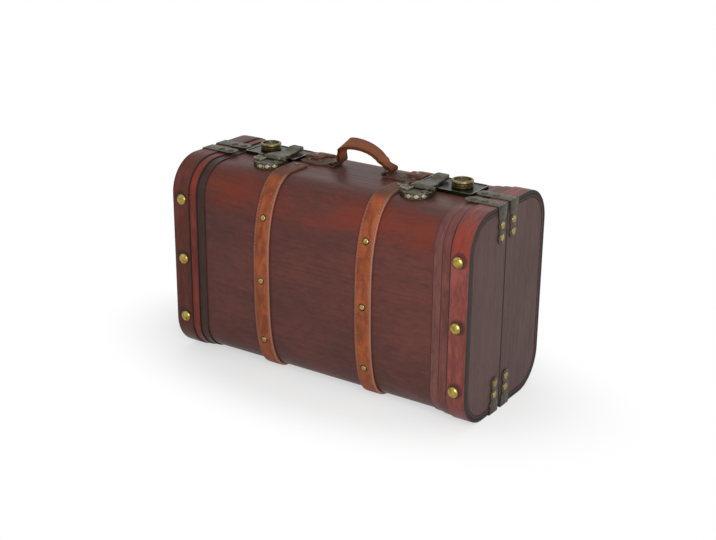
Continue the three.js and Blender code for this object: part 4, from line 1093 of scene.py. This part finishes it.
def make_tab(hand):
    """A leather tab folded round its ring's lower bar and riveted down on the field."""
    size = sizes()
    out = HANDS[hand]
    node = f"handle_tab_{hand}"
    low, high = corners(node)
    eye = joint_place(f"{hand}_ring_swing")
    row, tip = eye[1], max(high[0], -low[0])
    reach = tip - abs(eye[0])
    layer = size.leather_layer
    loop_radius = eye[2] - low[2] - layer / 2
    ply_gap, fall_run, neck, neck_run = 0.02 * MM, 9 * MM, 20 * MM, 12 * MM
    end_run, end_narrowing = 4 * MM, 5 * MM
    ease, crease, crease_depth = 0.45 * MM, 2.2 * MM, 0.12 * MM
    eyelet_radius, eyelets = 3.6 * MM, ((24 * MM, -4 * MM), (41 * MM, -4.5 * MM))
    distance = reach * np.linspace(0, 1, 70)
    level = low[2] + layer + ply_gap + (eye[2] - low[2] - layer) * (1 - smooth(distance / fall_run))
    line = np.stack([out * (abs(eye[0]) + distance), level], axis=1)
    flat, normal, runs = folded_band(line, loop_radius, layer, 1)
    widths = neck + (high[1] - low[1] - neck) * smooth((runs - neck_run) / neck_run)
    widths -= end_narrowing * smooth((runs - (reach - end_run)) / end_run) ** 2
    section = leather_section(widths, -layer / 2, layer / 2, ease, crease, crease_depth)
    surface = carried(upright(flat, row), Y, upright(normal), section, LEATHER_EDGE, True, 5 * out)
    put_mesh(f"{node}_leather", [surface], "tab_leather", "back_leaf", [node])
    eyelet = turned(eyelet_profile(eyelet_radius), 24)
    places = [np.array([out * (abs(eye[0]) + distance), row + across, low[2] + 2 * layer])
              for distance, across in eyelets]
    heads = [eyelet.moved(place, X, Y, Z) for place in places]
    put_mesh(f"{node}_eyelets", heads, "bronze", "back_leaf", (), 60)


def eyelet_profile(radius):
    """Radii and heights of a set eyelet: a rolled rim round a sunk middle."""
    foot, floor = 0.1 * MM, 0.05 * MM
    turn = np.linspace(0, np.pi, 9)
    roll = 0.32 * radius
    rim = np.stack([radius - roll + roll * np.cos(turn), foot + 1.1 * roll * np.sin(turn)], axis=1)
    return np.concatenate([[[0, 0], [radius, 0]], rim, [[0.3 * radius, floor], [0, floor]]])


def make_ring(hand):
    """A rectangular wire ring: a round section carried round a rectangle with round corners,
    leaning over on the tab's eye."""
    size = sizes()
    node = f"handle_ring_{hand}"
    eye = joint_place(f"{hand}_ring_swing")
    bar = joint_place("handle_swing") - joint_place("left_ring_swing")
    rise = bar / np.linalg.norm(bar)
    half = (corners(node)[1][1] - corners(node)[0][1]) / 2 - size.ring_wire / 2
    length_up, radius = np.linalg.norm(bar), 2.2 * MM
    turns = np.linspace(0, np.pi / 2, 9) + np.arange(4)[:, None] * np.pi / 2
    centres = np.array([[half - radius, length_up - radius], [radius - half, length_up - radius],
                        [radius - half, radius], [half - radius, radius]])
    quarters = np.stack([np.cos(turns), np.sin(turns)], axis=-1) * radius
    flat = (centres[:, None] + quarters).reshape(-1, 2)
    path = eye + flat[:, :1] * Y + flat[:, 1:] * rise
    ahead = np.roll(path, -1, axis=0) - np.roll(path, 1, axis=0)
    ahead /= np.linalg.norm(ahead, axis=1, keepdims=True)
    square = np.cross(Y, rise)
    around = np.linspace(0, 2 * np.pi, 16, endpoint=False)
    section = np.stack([np.cos(around), np.sin(around)], axis=1) * size.ring_wire / 2
    surface = carried(path, np.cross(ahead, square), square, section, 0.35, closed=True)
    put_mesh(f"{node}_wire", [surface], "bronze", f"{hand}_ring", [node], 60)


# The handle's middle line as shares of the span between its eyes and of its rise over them
HANDLE_LINE_SHARES = np.array([
    [0, 0], [0.005, 0.45], [0.07, 0.85], [0.26, 0.96], [0.48, 0.9], [0.667, 0.7], [0.8, 0.41],
    [0.91, 0.14], [1, 0],
])
# How far the handle is twisted, in degrees, at shares of its line's length
HANDLE_TWIST = np.array([[0, 0], [0.11, 0], [0.24, 17], [0.8, -11], [0.92, -2], [1, 0]])


def through_points(points, steps):
    """A smooth curve through points: between two of them a cubic whose slope at each is half
    the way from its neighbour before to its neighbour after."""
    padded = np.concatenate([points[:1], points, points[-1:]])
    place = np.linspace(0, len(points) - 1, steps)
    index = np.minimum(place.astype(int), len(points) - 2)
    share = (place - index)[:, None]
    before, start, end, after = (padded[index + step] for step in range(4))
    slope_in, slope_out = (end - before) / 2, (after - start) / 2
    cubic = (2 * start - 2 * end + slope_in + slope_out) * share ** 3
    square = (3 * end - 3 * start - 2 * slope_in - slope_out) * share ** 2
    return cubic + square + slope_in * share + start


def twist_of(points, centre, up, turn):
    """Points turned about a line that runs through their row's centre: the part across the
    line and the part upward mix by the cosine and the sine of the row's turn."""
    offset = points - centre[:, None]
    across, rise = offset[..., 1:2], np.einsum("ijk,ik->ij", offset, up)[..., None]
    rest = offset - across * Y - rise * up[:, None]
    cosine, sine = np.cos(turn)[:, None, None], np.sin(turn)[:, None, None]
    turned_offset = (across * cosine - rise * sine) * Y + (across * sine + rise * cosine) * up[:, None]
    return centre[:, None] + rest + turned_offset


def make_handle():
    """The carrying handle: two layers of leather sewn together, folded round both rings and
    twisted a little along the way."""
    size = sizes()
    left = joint_place("handle_swing")
    span = 2 * abs(joint_place("left_ring_swing")[0])
    line = through_points(HANDLE_LINE_SHARES * [span, size.handle_rise], 120) + [left[0], left[2]]
    low, high = corners("handle")
    thickness, loop_radius = 4 * MM, 2.45 * MM
    foot, foot_run, widening = 17 * MM, 10 * MM, 8 * MM
    loop_layer, loop_run, layer_run = 1.6 * MM, 1 * MM, 9 * MM
    ease, crease, crease_depth = 0.5 * MM, 2.6 * MM, 0.16 * MM
    seam, sunk, first_stitch, last_stitch = 10.8 * MM, 0.1 * MM, 24 * MM, 22 * MM
    flat, normal, runs = folded_band(line, loop_radius, thickness / 2, 2)
    total = runs.max()
    near = np.minimum(runs, total - runs)
    widths = foot + (high[1] - low[1] - foot) * smooth((near - foot_run) / widening)
    grown = loop_layer + (thickness / 2 - loop_layer) * smooth(near / layer_run)
    layers = np.where(near < loop_run, loop_layer, grown)
    section = leather_section(widths, -layers / 2, layers / 2, ease, crease, crease_depth)
    surface = carried(upright(flat, left[1]), Y, upright(normal), section, LEATHER_EDGE, True, 7,
                      closed=True)
    run = running_length(line)
    middle = upright(line, left[1])
    tangent = np.gradient(line, axis=0)
    tangent /= np.linalg.norm(tangent, axis=1, keepdims=True)
    outer = upright(np.stack([-tangent[:, 1], tangent[:, 0]], axis=1))
    centre, up = (np.stack([np.interp(runs, run, part[:, axis]) for axis in range(3)], axis=1)
                  for part in (middle, outer))
    up /= np.linalg.norm(up, axis=1, keepdims=True)
    turn = np.radians(np.interp(runs / total, *HANDLE_TWIST.T))
    points = twist_of(surface.points.reshape(len(flat), -1, 3), centre, up, turn)
    surface = Surface(points, surface.faces, surface.grain, surface.edge)
    put_mesh("handle_leather", [surface], "handle_leather", "carry_handle", ["handle"])
    turn = np.radians(np.interp(run / total, *HANDLE_TWIST.T))[:, None]
    sideways, upward = np.cos(turn) * Y + np.sin(turn) * outer, np.cos(turn) * outer - np.sin(turn) * Y
    sewn = [
        stitches(middle, sideways, face * upward, (-seam, seam), thickness / 2 - sunk, first_stitch,
                 last_stitch)
        for face in (1, -1)
    ]
    put_mesh("handle_stitches", sewn, "handle_thread", "carry_handle")


# Latches


def latch_place(hand):
    """The point on the field under the middle of a latch."""
    low, high = corners(f"catch_{hand}")
    return np.array([(low[0] + high[0]) / 2, 0, FIELD_TOP])


def make_knob(hand):
    """A cast knob: a drum with two turned grooves, a raised rim, and a dish with a rosette whose
    petals are waves round the axis."""
    node = f"knob_{hand}"
    low, high = corners(node)
    middle = (low + high) / 2
    radius = (high[0] - low[0]) / 2
    overlap, raised, button_fall = 0.4 * MM, 2.6 * MM, 0.9 * MM
    base, top = corners(f"latch_plate_{hand}")[1][2] - overlap, high[2] + raised
    foot = np.array([middle[0], middle[1], 0])
    stem, groove, dish_depth, petal_height = 2.5 * MM, 0.9 * MM, 2 * MM, 1.1 * MM
    inner = radius - 3 * MM
    face = inner - 0.8 * MM
    groove_half, groove_floor, foot_ease, rim = 0.8 * MM, 0.25 * MM, 0.8 * MM, 0.9 * MM
    lip, slope, small = 0.5 * MM, 1.9 * MM, 0.3 * MM
    drum = []
    for share in (0.36, 0.66):
        waist = base + share * (top - base)
        drum += [[radius, waist - groove_half], [radius - groove, waist - groove_floor],
                 [radius - groove, waist + groove_floor], [radius, waist + groove_half]]
    profile = np.array([
        [0, low[2]], [stem, low[2]], [stem, base], [radius - foot_ease, base],
        [radius - foot_ease / 8, base + lip], [radius, base + rim], *drum,
        [radius, top - rim], [radius - small, top - small], [radius - rim, top],
        [inner + lip, top], [inner, top - small], [inner - lip, top - slope],
    ])
    rim_edge = [0, 0, 0, 0, 0.3, 0.5] + [0.75, 0, 0, 0.75] * 2 + [0.8, 1, 0.95, 0.8, 0.5, 0]
    dish = np.linspace(inner - rim, 0, 24)[:-1]
    profile = np.concatenate([profile, np.stack([dish, 0 * dish + top - dish_depth], axis=1),
                              [[0, top - button_fall]]])
    petals = sizes().knob_petals

    def rosette(distance, turn):
        """Petals as waves of the turn under one wave of the radius, and a middle button."""
        share = np.clip(distance / face, 0, 1)
        petal = np.abs(np.cos(turn * petals / 2)) * np.sin(np.pi * np.clip((share - 0.28) / 0.66, 0, 1))
        button = smooth((0.3 - share) / 0.1)
        inside = (distance < face) & (distance > 0)
        return np.where(inside, petal_height * np.maximum(petal, button), 0)

    face_edge = 0.55 * np.sin(np.pi * np.clip((dish / inner - 0.2) / 0.7, 0, 1))
    edge = np.concatenate([rim_edge, face_edge, [0.6]])
    surface = turned(profile, 96, rosette, edge).moved(foot, X, Y, Z)
    put_mesh(f"{node}_drum", [surface], "knob_brass", f"{hand}_knob", [node])


def make_catch(hand):
    """The catch on the front leaf: an oval block with a floor behind its wall, two bosses for
    the tongue's pin, and an upright disc and a button as ornament."""
    node = f"catch_{hand}"
    low, high = corners(node)
    origin = latch_place(hand)
    pivot = joint_place(f"{hand}_tongue_lift")
    skin, room, pocket, top_margin = 0.5 * MM, 5.4 * MM, 14.3 * MM, 0.6 * MM
    floor_margin, floor_level = 0.6 * MM, 2.9 * MM
    half, depth = (high[0] - low[0]) / 2 - skin, (high[1] - low[1]) / 2 - skin
    middle_row = (high[1] + low[1]) / 2
    top = pivot[2] - FIELD_TOP - top_margin
    wall = catch_wall(origin, half, depth, middle_row, pocket, pivot[1] - room, top)
    rows = np.linspace(pivot[1] - room, high[1] - floor_margin, 12)
    oval = half * np.sqrt(np.maximum(1 - ((rows - middle_row) / depth) ** 2, 0))
    reach, foot = np.minimum(pocket, oval), sheet_height(rows, origin[0]) + SEAT_GAP
    level = np.full(len(rows), floor_level)
    section = np.stack([np.stack(pair, axis=1) for pair in (
        (reach, foot), (reach, level), (-reach, level), (-reach, foot))], axis=1)
    floor = carried(rows[:, None] * Y + origin, X, Z, section)
    boss_radius, boss_length, boss_ease = 3.4 * MM, 7.1 * MM, 0.7 * MM
    boss = turned([[0, 0], [boss_radius, 0], [boss_radius, boss_length - boss_ease],
                   [boss_radius - boss_ease, boss_length], [0, boss_length]], 28)
    bosses = [boss.moved(np.array([origin[0] + end * pocket, *pivot[1:]]), Y, Z, end * X)
              for end in (-1, 1)]
    disc_radius, disc_foot, disc_rise = 8.6 * MM, 0.8 * MM, 1.6 * MM
    disc_past, disc_back = 0.2 * MM, 3.5 * MM
    disc_place = origin + np.array([disc_radius - half - disc_past, middle_row - disc_back, 0])
    disc = turned(disc_profile(disc_radius, disc_foot, pivot[2] - FIELD_TOP + disc_rise), 48,
                  edge=DISC_EDGE)
    button_radius, button_height, button_rim = 4.6 * MM, 1.5 * MM, 0.3 * MM
    button_in, button_back = 7.2 * MM, 5.5 * MM
    button_place = origin + np.array([half - button_in, middle_row - button_back, top])
    button = turned(dome_profile(button_radius, button_height, button_rim, 9), 32)
    parts = [wall, floor, *bosses, disc.moved(disc_place, X, Y, Z), button.moved(button_place, X, Y, Z)]
    put_mesh(f"{node}_body", parts, "bronze", "lid", [node])


def catch_wall(origin, half, depth, middle_row, pocket, pocket_row, top):
    """The catch's block, open behind for the tongue's barrel. The outline is an ellipse with the
    pocket cut into its rear. It is drawn up from the bent sheet to the top, where a point's
    level is its share of the way between the two, and generic relief runs round the wall."""
    ease, flat_rim = 0.8 * MM, 1.2 * MM
    relief_start, relief_end, fading = -5.5 * MM, 24 * MM, 1 * MM
    start = math.asin(-pocket / half)
    turn = np.linspace(start, -2 * np.pi - start, 150)
    oval = np.stack([half * np.sin(turn), middle_row + depth * np.cos(turn)], axis=1)
    run = running_length(oval)
    run -= run[-1] / 2
    outline = np.concatenate([oval, [[pocket, pocket_row], [-pocket, pocket_row]]])
    wall_rows, rim_turn = 20, np.linspace(0, np.pi / 2, 5)[1:]
    still = np.zeros(wall_rows)
    shares = np.concatenate([np.linspace(0, 1, wall_rows), np.ones(5)])
    rises = ease * np.concatenate([still, np.sin(rim_turn), [1]])
    insets = np.concatenate([still, ease - ease * np.cos(rim_turn), [ease + flat_rim]])
    foot = sheet_height(outline[:, 1], origin[0] + outline[:, 0]) + SEAT_GAP
    height = foot[None] + shares[:, None] * (top - ease - foot)[None] + rises[:, None]
    shown = smooth((run - relief_start) / fading) * smooth((relief_end - run) / fading)
    relief = np.pad(wall_ornament(run[None], shares[:, None]) * shown, ((0, 0), (0, 2)))
    flat = outline[None] + (relief - insets[:, None])[..., None] * outline_normals(outline)[None]
    rim_edge, top_edge = np.full((4, len(outline)), 0.55), np.zeros((1, len(outline)))
    edge = np.concatenate([relief[:wall_rows] / RUBBED_RELIEF, rim_edge, top_edge])
    faces = tube_faces(*height.shape)
    return Surface(np.dstack([flat, height]), faces, None, edge).moved(origin, X, Y, Z)


# The ornament's height, and that from which it is rubbed quite bright
RELIEF_HEIGHT, RUBBED_RELIEF = 0.8 * MM, 0.7 * MM
# How much of an edge each point of the disc's profile is
DISC_EDGE = np.array([0, 0, 0.1, 0.6, 0.9, 0.8, 0.5, 0.6, 0.7, 0.7])


def disc_profile(radius, foot, top):
    """Radii and heights of an upright disc with an eased rim and a shallow round boss."""
    ease, rim, sunk, boss_fall = 1 * MM, 1.8 * MM, 0.5 * MM, 0.1 * MM
    corner, slope = 0.3 * ease, 0.4 * MM
    return np.array([
        [0, foot], [radius, foot], [radius, top - ease], [radius - corner, top - corner],
        [radius - ease, top], [radius - rim, top], [radius - rim - slope, top - sunk],
        [0.45 * radius, top - sunk], [0.35 * radius, top - boss_fall], [0, top - boss_fall],
    ])


def sheet_height(row, across):
    """Height over the field's top level of the front sheet at rows and places along the case,
    read off its section between the points of its path."""
    path, _ = leaf_path(-1, 0, FRONT_PARTING, FRONT_PARTING)
    path = path[path[:, 2] > sizes().widest_level]
    relaxed_path = relaxed(path, -1, 0.0, 1.0)
    held, loose = (np.interp(row, part[::-1, 1], part[::-1, 2]) for part in (path, relaxed_path))
    return held + relaxed_share(np.asarray(across)) * (loose - held) - FIELD_TOP


def wall_ornament(run, share):
    """Generic relief for a distance round the wall and a share of its height: lozenges with an
    upright bar between every two."""
    pitch, lozenge_half, bar_width = 9.6 * MM, 4.3 * MM, 0.6 * MM
    away = np.abs(share - 0.52) / 0.5
    place = np.abs((run / pitch + 0.5) % 1 - 0.5) * pitch
    lozenge = smooth((1 - place / lozenge_half - away / 0.95) / 0.16)
    bar = smooth(1.5 - np.abs(place - pitch / 2) / bar_width) * smooth((0.75 - away) / 0.12)
    return RELIEF_HEIGHT * np.maximum(bar, lozenge)


def make_tongue(hand):
    """The pinned tongue: a round barrel, an arm that narrows over the plate and a raised tip,
    as a crowned section carried along Y, with the slotted lug under it. Over the barrel the
    levels are its circle's, and past it the arm's own, whichever is higher."""
    node = f"tongue_{hand}"
    low, high = corners(node)
    origin = latch_place(hand)
    pivot = joint_place(f"{hand}_tongue_lift")
    barrel, clearance, arm_thickness = 5 * MM, 0.4 * MM, 3.4 * MM
    arm_fall, lift, root_drop, root_run = 2 * MM, 3 * MM, 1.5 * MM, 6 * MM
    arm_start, end_run, skin = 1 * MM, 6.5 * MM, 0.02 * MM
    level = pivot[2] - FIELD_TOP
    arm_bottom = corners(f"latch_plate_{hand}")[1][2] - FIELD_TOP + clearance
    rise_start, rise_end = high[1] - 23 * MM, high[1] - 9 * MM
    turn = np.linspace(0, np.pi / 2, 10)
    rows = np.concatenate([
        pivot[1] - barrel * np.cos(turn) + skin,
        np.linspace(pivot[1] + arm_start, high[1] - end_run, 56),
        high[1] - end_run + (end_run - skin) * np.sin(turn)[1:],
    ])
    past = rows - pivot[1]
    round_half = np.sqrt(np.maximum(barrel ** 2 - past ** 2, 0))
    climb = lift * smooth((rows - rise_start) / (rise_end - rise_start))
    fallen = smooth(past / (rise_start - pivot[1]))
    top_line = arm_bottom + arm_thickness + arm_fall * (1 - fallen) + climb
    bottom_line = arm_bottom + 0.35 * climb - (1 - smooth(past / root_run)) * root_drop
    tops = np.where(past < 0, level + round_half, np.maximum(level + round_half, top_line))
    bottoms = np.where(past < 0, level - round_half, bottom_line)
    tip_run = 2.2 * MM
    tip = 0.35 + 0.65 * smooth((high[1] - rows) / tip_run)
    middle = (tops + bottoms) / 2
    tops, bottoms = middle + (tops - middle) * tip, middle + (bottoms - middle) * tip
    base, neck, tip_radius, flare, flare_run = 28 * MM, 18.4 * MM, 8.4 * MM, 1.6 * MM, 6 * MM
    taper_start, taper_run = -9.6 * MM, 18 * MM
    widths = base - (base - neck) * smooth((rows - taper_start) / taper_run)
    widths += flare * smooth((rows - rise_end) / flare_run)
    from_tip = np.clip(rows - (high[1] - tip_radius), 0, tip_radius)
    widths -= 2 * (tip_radius - np.sqrt(tip_radius ** 2 - from_tip ** 2))
    path = rows[:, None] * Y + origin
    thickness = tops - bottoms
    corner, full_depth = 0.9 * MM, 9 * MM
    ease = np.minimum(corner, np.maximum(thickness * 0.3, skin))
    across_shares = np.array([0.0, 0.08, 0.14, 0.22, 0.5, 0.78, 0.86, 0.92, 1.0])
    crown, crown_run = 3.4 * MM, 8 * MM
    fall = crown * smooth((crown_run - np.abs(past)) / crown_run) * np.minimum(1, thickness / full_depth)
    section = eased_rectangle(widths, bottoms, tops - fall, ease, 3, across_shares)
    top_points = slice(4, 4 + len(across_shares))
    section[:, top_points, 1] += fall[:, None] * (1 - (2 * across_shares - 1) ** 2)
    ridge = np.array([0, 0, -0.1, -0.45, -0.35, -0.45, -0.1, 0, 0]) * MM
    fading, ridge_end = 5 * MM, 1.5 * MM
    fade = smooth(past / fading) * smooth((high[1] - ridge_end - rows) / fading)
    section[:, top_points, 1] += fade[:, None] * ridge
    edge = corner_edge(3, len(across_shares)) * 0.5
    edge[5:8] = [0.3, 0.1, 0]
    edge[9:12] = [0, 0.1, 0.3]
    # Painted highlight: a lighter band round the barrel's upper front, where the light falls on its curve
    highlight_row, highlight_half = pivot[1] - 2.6 * MM, 1.6 * MM
    edge = edge + 0.55 * smooth(1 - np.abs(rows - highlight_row) / highlight_half)[:, None]
    parts = [carried(path, X, Z, section, edge), make_lug(hand, low, arm_bottom, origin)]
    put_mesh(f"{node}_arm", parts, "bronze", f"{hand}_tongue", [node])


def make_lug(hand, low, arm_bottom, origin):
    """The lug's slotted loop: an upright frame round the bolt's window, as a square section
    carried round the window."""
    knob_low, knob_high = corners(f"knob_{hand}")
    row = (knob_low[1] + knob_high[1]) / 2
    half, wall, thickness, outboard, overlap = 3.25 * MM, 1.3 * MM, 1.6 * MM, 4 * MM, 0.9 * MM
    side, foot, top = half - wall / 2, low[2] - FIELD_TOP + wall / 4, arm_bottom + overlap
    flat = np.array([[-side, foot], [side, foot], [side, top], [-side, top]])
    diagonal = np.array([[-1, -1], [1, -1], [1, 1], [-1, 1]], float)
    path = origin + HANDS[hand] * outboard * X + (row + flat[:, :1]) * Y + flat[:, 1:] * Z
    outward_way = np.insert(diagonal * [1, 0.5], 0, 0, axis=1)
    return carried(path, X, outward_way, diagonal * [thickness / 2, wall / 2], closed=True)


# Operators


class PieceOperator:
    """What all the operators of the case share."""

    bl_options = {"REGISTER", "UNDO"}


class CASE_OT_finishes(PieceOperator, bpy.types.Operator):
    """Make the woods, leathers, metals and cloth of the case"""

    bl_idname = "case.finishes"
    bl_label = "Finishes"

    def execute(self, context):
        make_finishes()
        return {"FINISHED"}


class CASE_OT_shells(PieceOperator, bpy.types.Operator):
    """Build the bent plywood shells, the end boards and the linings"""

    bl_idname = "case.shells"
    bl_label = "Shells, Ends and Linings"

    def execute(self, context):
        for leaf in SIDES:
            make_shell(leaf)
            make_lining(leaf)
            for hand in HANDS:
                make_end_panel(leaf, hand)
        return {"FINISHED"}


class CASE_OT_bands(PieceOperator, bpy.types.Operator):
    """Build the stepped end bands and their domed nails"""

    bl_idname = "case.bands"
    bl_label = "Bands and Nails"

    def execute(self, context):
        for leaf in SIDES:
            for hand in HANDS:
                make_band(leaf, hand)
                for row in ("low", "middle", "high"):
                    make_nail(f"{leaf}_nail_{hand}_{row}")
        return {"FINISHED"}


class CASE_OT_brackets(PieceOperator, bpy.types.Operator):
    """Build the corner brackets with their rivets"""

    bl_idname = "case.brackets"
    bl_label = "Corner Brackets"

    def execute(self, context):
        for leaf in SIDES:
            for level in ("top", "bottom"):
                for hand in HANDS:
                    make_bracket(leaf, level, hand)
        return {"FINISHED"}


class CASE_OT_straps(PieceOperator, bpy.types.Operator):
    """Build the leather straps with their stitches and rivets"""

    bl_idname = "case.straps"
    bl_label = "Straps"

    def execute(self, context):
        for leaf in SIDES:
            for hand in HANDS:
                make_strap(leaf, hand)
        return {"FINISHED"}


class CASE_OT_latches(PieceOperator, bpy.types.Operator):
    """Build the knobs, catches and tongues and finish the plates, bolts and pins"""

    bl_idname = "case.latches"
    bl_label = "Latches"

    def execute(self, context):
        for hand in HANDS:
            make_knob(hand)
            make_catch(hand)
            make_tongue(hand)
            finish_node(f"latch_plate_{hand}", "plate_bronze")
            for node in ("bolt", "catch_pin"):
                finish_node(f"{node}_{hand}", "bronze")
        return {"FINISHED"}


class CASE_OT_hinges(PieceOperator, bpy.types.Operator):
    """Finish the butt hinges under the bottom edge"""

    bl_idname = "case.hinges"
    bl_label = "Hinges"

    def execute(self, context):
        for hand in HANDS:
            for node in ("front_hinge_leaf", "back_hinge_leaf", "hinge_pin"):
                finish_node(f"{node}_{hand}", "bronze")
        return {"FINISHED"}


class CASE_OT_handle(PieceOperator, bpy.types.Operator):
    """Build the handle, its rings and the tabs that hold them"""

    bl_idname = "case.handle"
    bl_label = "Handle"

    def execute(self, context):
        for hand in HANDS:
            make_tab(hand)
            make_ring(hand)
        make_handle()
        return {"FINISHED"}


# The photograph's view, found by fitting the case's edges. The lens and its sensor are in
# millimetres
CAMERA_AZIMUTH = math.radians(33.52)
CAMERA_ELEVATION = math.radians(20.63)
CAMERA_ROLL = math.radians(0.55)
CAMERA_LENS = 66.61
SENSOR_WIDTH = 36
CAMERA_PLACE = (0.88604, -1.32780, 0.73365)


class CASE_OT_stage(PieceOperator, bpy.types.Operator):
    """Set up the floor, the soft studio light and the camera"""

    bl_idname = "case.stage"
    bl_label = "Stage"

    def execute(self, context):
        scene = context.scene
        scene.view_settings.view_transform = "Standard"
        make_floor()
        make_world(scene)
        for lamp in LAMPS:
            make_lamp(*lamp)
        make_camera(scene)
        return {"FINISHED"}


# The softboxes: name, place, size of a side in metres and power in watts
LAMPS = (
    ("key_softbox", (0.75, -0.8, 0.55), 0.6, 10.5),
    ("fill_softbox", (-1.4, -1.6, 1.3), 1.4, 4),
    ("top_softbox", (0.1, 0.4, 2.2), 1.8, 9),
)
# Where the floor starts to fade to white and is wholly white, and how much it is squeezed along
# the case for that
FADE_START, FADE_END, FADE_SQUEEZE = 0.12, 0.23, 0.55


def show(name, content):
    """Puts new content in the scene as an object of that name."""
    holder = bpy.data.objects.new(name, content)
    bpy.context.scene.collection.objects.link(holder)
    return holder


def seen_directly(tree):
    """One where the eye sees a surface itself or in a reflection, and nought in its light."""
    rays = [add(tree, "LightPath", (), f"Is {kind} Ray") for kind in ("Camera", "Glossy", "Transmission")]
    first = add(tree, "Math", rays[:2], operation="MAXIMUM")
    return add(tree, "Math", (first, rays[2]), operation="MAXIMUM")


def make_floor():
    """A pale floor, white where it is far from the case, that keeps the case's shadow."""
    reach = 6.0
    ring = np.array([[-1, -1, 0], [1, -1, 0], [1, 1, 0], [-1, 1, 0]]) * reach
    mesh = bpy.data.meshes.new("floor")
    mesh.from_pydata(ring.tolist(), [], [[0, 1, 2, 3]])
    material, tree = new_finish("white_paper_floor")
    paper = add(tree, "BsdfPrincipled", {
        "Base Color": (0.8, 0.8, 0.8, 1), "Roughness": 0.9, "Specular IOR Level": 0.0})
    place = add(tree, "TexCoord", (), "Object")
    spread = add(tree, "Mapping", {"Vector": place, "Scale": (FADE_SQUEEZE, 1, 1)})
    away = add(tree, "VectorMath", (spread,), "Value", operation="LENGTH")
    fade = add(tree, "MapRange", (away, FADE_START, FADE_END, 0.55, 1.0), **EASED)
    white = add(tree, "Emission", {"Color": (1, 1, 1, 1), "Strength": 1.0})
    share = add(tree, "Math", (fade, seen_directly(tree)), operation="MULTIPLY")
    add(tree, "OutputMaterial", {"Surface": add(tree, "MixShader", (share, paper, white))})
    mesh.materials.append(material)
    show("floor", mesh)


def make_world(scene):
    """White to the eye and in reflections, and a level grey light on everything else."""
    world = bpy.data.worlds.new("studio")
    world.use_nodes = True
    tree = world.node_tree
    tree.nodes.clear()
    ambient, white = 0.42, 1.0
    strength = add(tree, "MapRange", (seen_directly(tree), 0, 1, ambient, white))
    light = add(tree, "Background", {"Color": (1, 1, 1, 1), "Strength": strength})
    add(tree, "OutputWorld", {"Surface": light})
    scene.world = world


def make_lamp(name, place, size, power):
    """A square softbox that faces the middle of the case."""
    lamp = bpy.data.lights.new(name, "AREA")
    lamp.size, lamp.energy = size, power
    back = np.array(place) - FIELD_TOP / 2 * Z
    back /= np.linalg.norm(back)
    right = np.cross(Z, back)
    right /= np.linalg.norm(right)
    show(name, lamp).matrix_world = placed_axes(right, np.cross(back, right), back, place)


def placed_axes(right, up, back, place):
    """The matrix of something that lies at a place, with its own axes along three directions."""
    matrix = np.eye(4)
    matrix[:3] = np.stack([right, up, back, place], axis=1)
    return Matrix(matrix.tolist())


def make_camera(scene):
    """The camera looks along the photograph's azimuth and elevation, rolled a little."""
    right = np.array([math.cos(CAMERA_AZIMUTH), math.sin(CAMERA_AZIMUTH), 0])
    away = np.cross(right, Z)
    back = away * math.cos(CAMERA_ELEVATION) + Z * math.sin(CAMERA_ELEVATION)
    up = np.cross(back, right)
    rolled_right = right * math.cos(CAMERA_ROLL) + up * math.sin(CAMERA_ROLL)
    rolled_up = up * math.cos(CAMERA_ROLL) - right * math.sin(CAMERA_ROLL)
    lens = bpy.data.cameras.new("photograph_view")
    lens.lens, lens.sensor_width, lens.sensor_fit = CAMERA_LENS, SENSOR_WIDTH, "HORIZONTAL"
    lens.clip_start, lens.clip_end = 0.05, 50
    camera = show("photograph_view", lens)
    camera.matrix_world = placed_axes(rolled_right, rolled_up, back, CAMERA_PLACE)
    scene.camera = camera


STEPS = (
    CASE_OT_stage, CASE_OT_finishes, CASE_OT_shells, CASE_OT_bands, CASE_OT_brackets,
    CASE_OT_straps, CASE_OT_latches, CASE_OT_hinges, CASE_OT_handle,
)


class CASE_PT_panel(bpy.types.Panel):
    """Lists the case's sizes, colours and pieces"""

    bl_label = "Wooden Case"
    bl_idname = "CASE_PT_panel"
    bl_space_type = "VIEW_3D"
    bl_region_type = "UI"
    bl_category = "Wooden Case"

    def draw(self, context):
        for group in (context.scene.case_sizes, context.scene.case_colours):
            for name in group.bl_rna.properties.keys():
                if name not in ("rna_type", "name"):
                    self.layout.prop(group, name)
        for step in STEPS:
            self.layout.operator(step.bl_idname)


CLASSES = (CaseSizes, CaseColours, *STEPS, CASE_PT_panel)


def register():
    """Adds the classes and hangs the sizes and colours on the scene."""
    for item in CLASSES:
        bpy.utils.register_class(item)
    bpy.types.Scene.case_sizes = PointerProperty(type=CaseSizes)
    bpy.types.Scene.case_colours = PointerProperty(type=CaseColours)


def unregister():
    """Takes away what register adds."""
    del bpy.types.Scene.case_colours
    del bpy.types.Scene.case_sizes
    for item in reversed(CLASSES):
        bpy.utils.unregister_class(item)


def main():
    register()
    for step in STEPS:
        group, name = step.bl_idname.split(".")
        getattr(getattr(bpy.ops, group), name)()


if __name__ == "__main__":
    main()
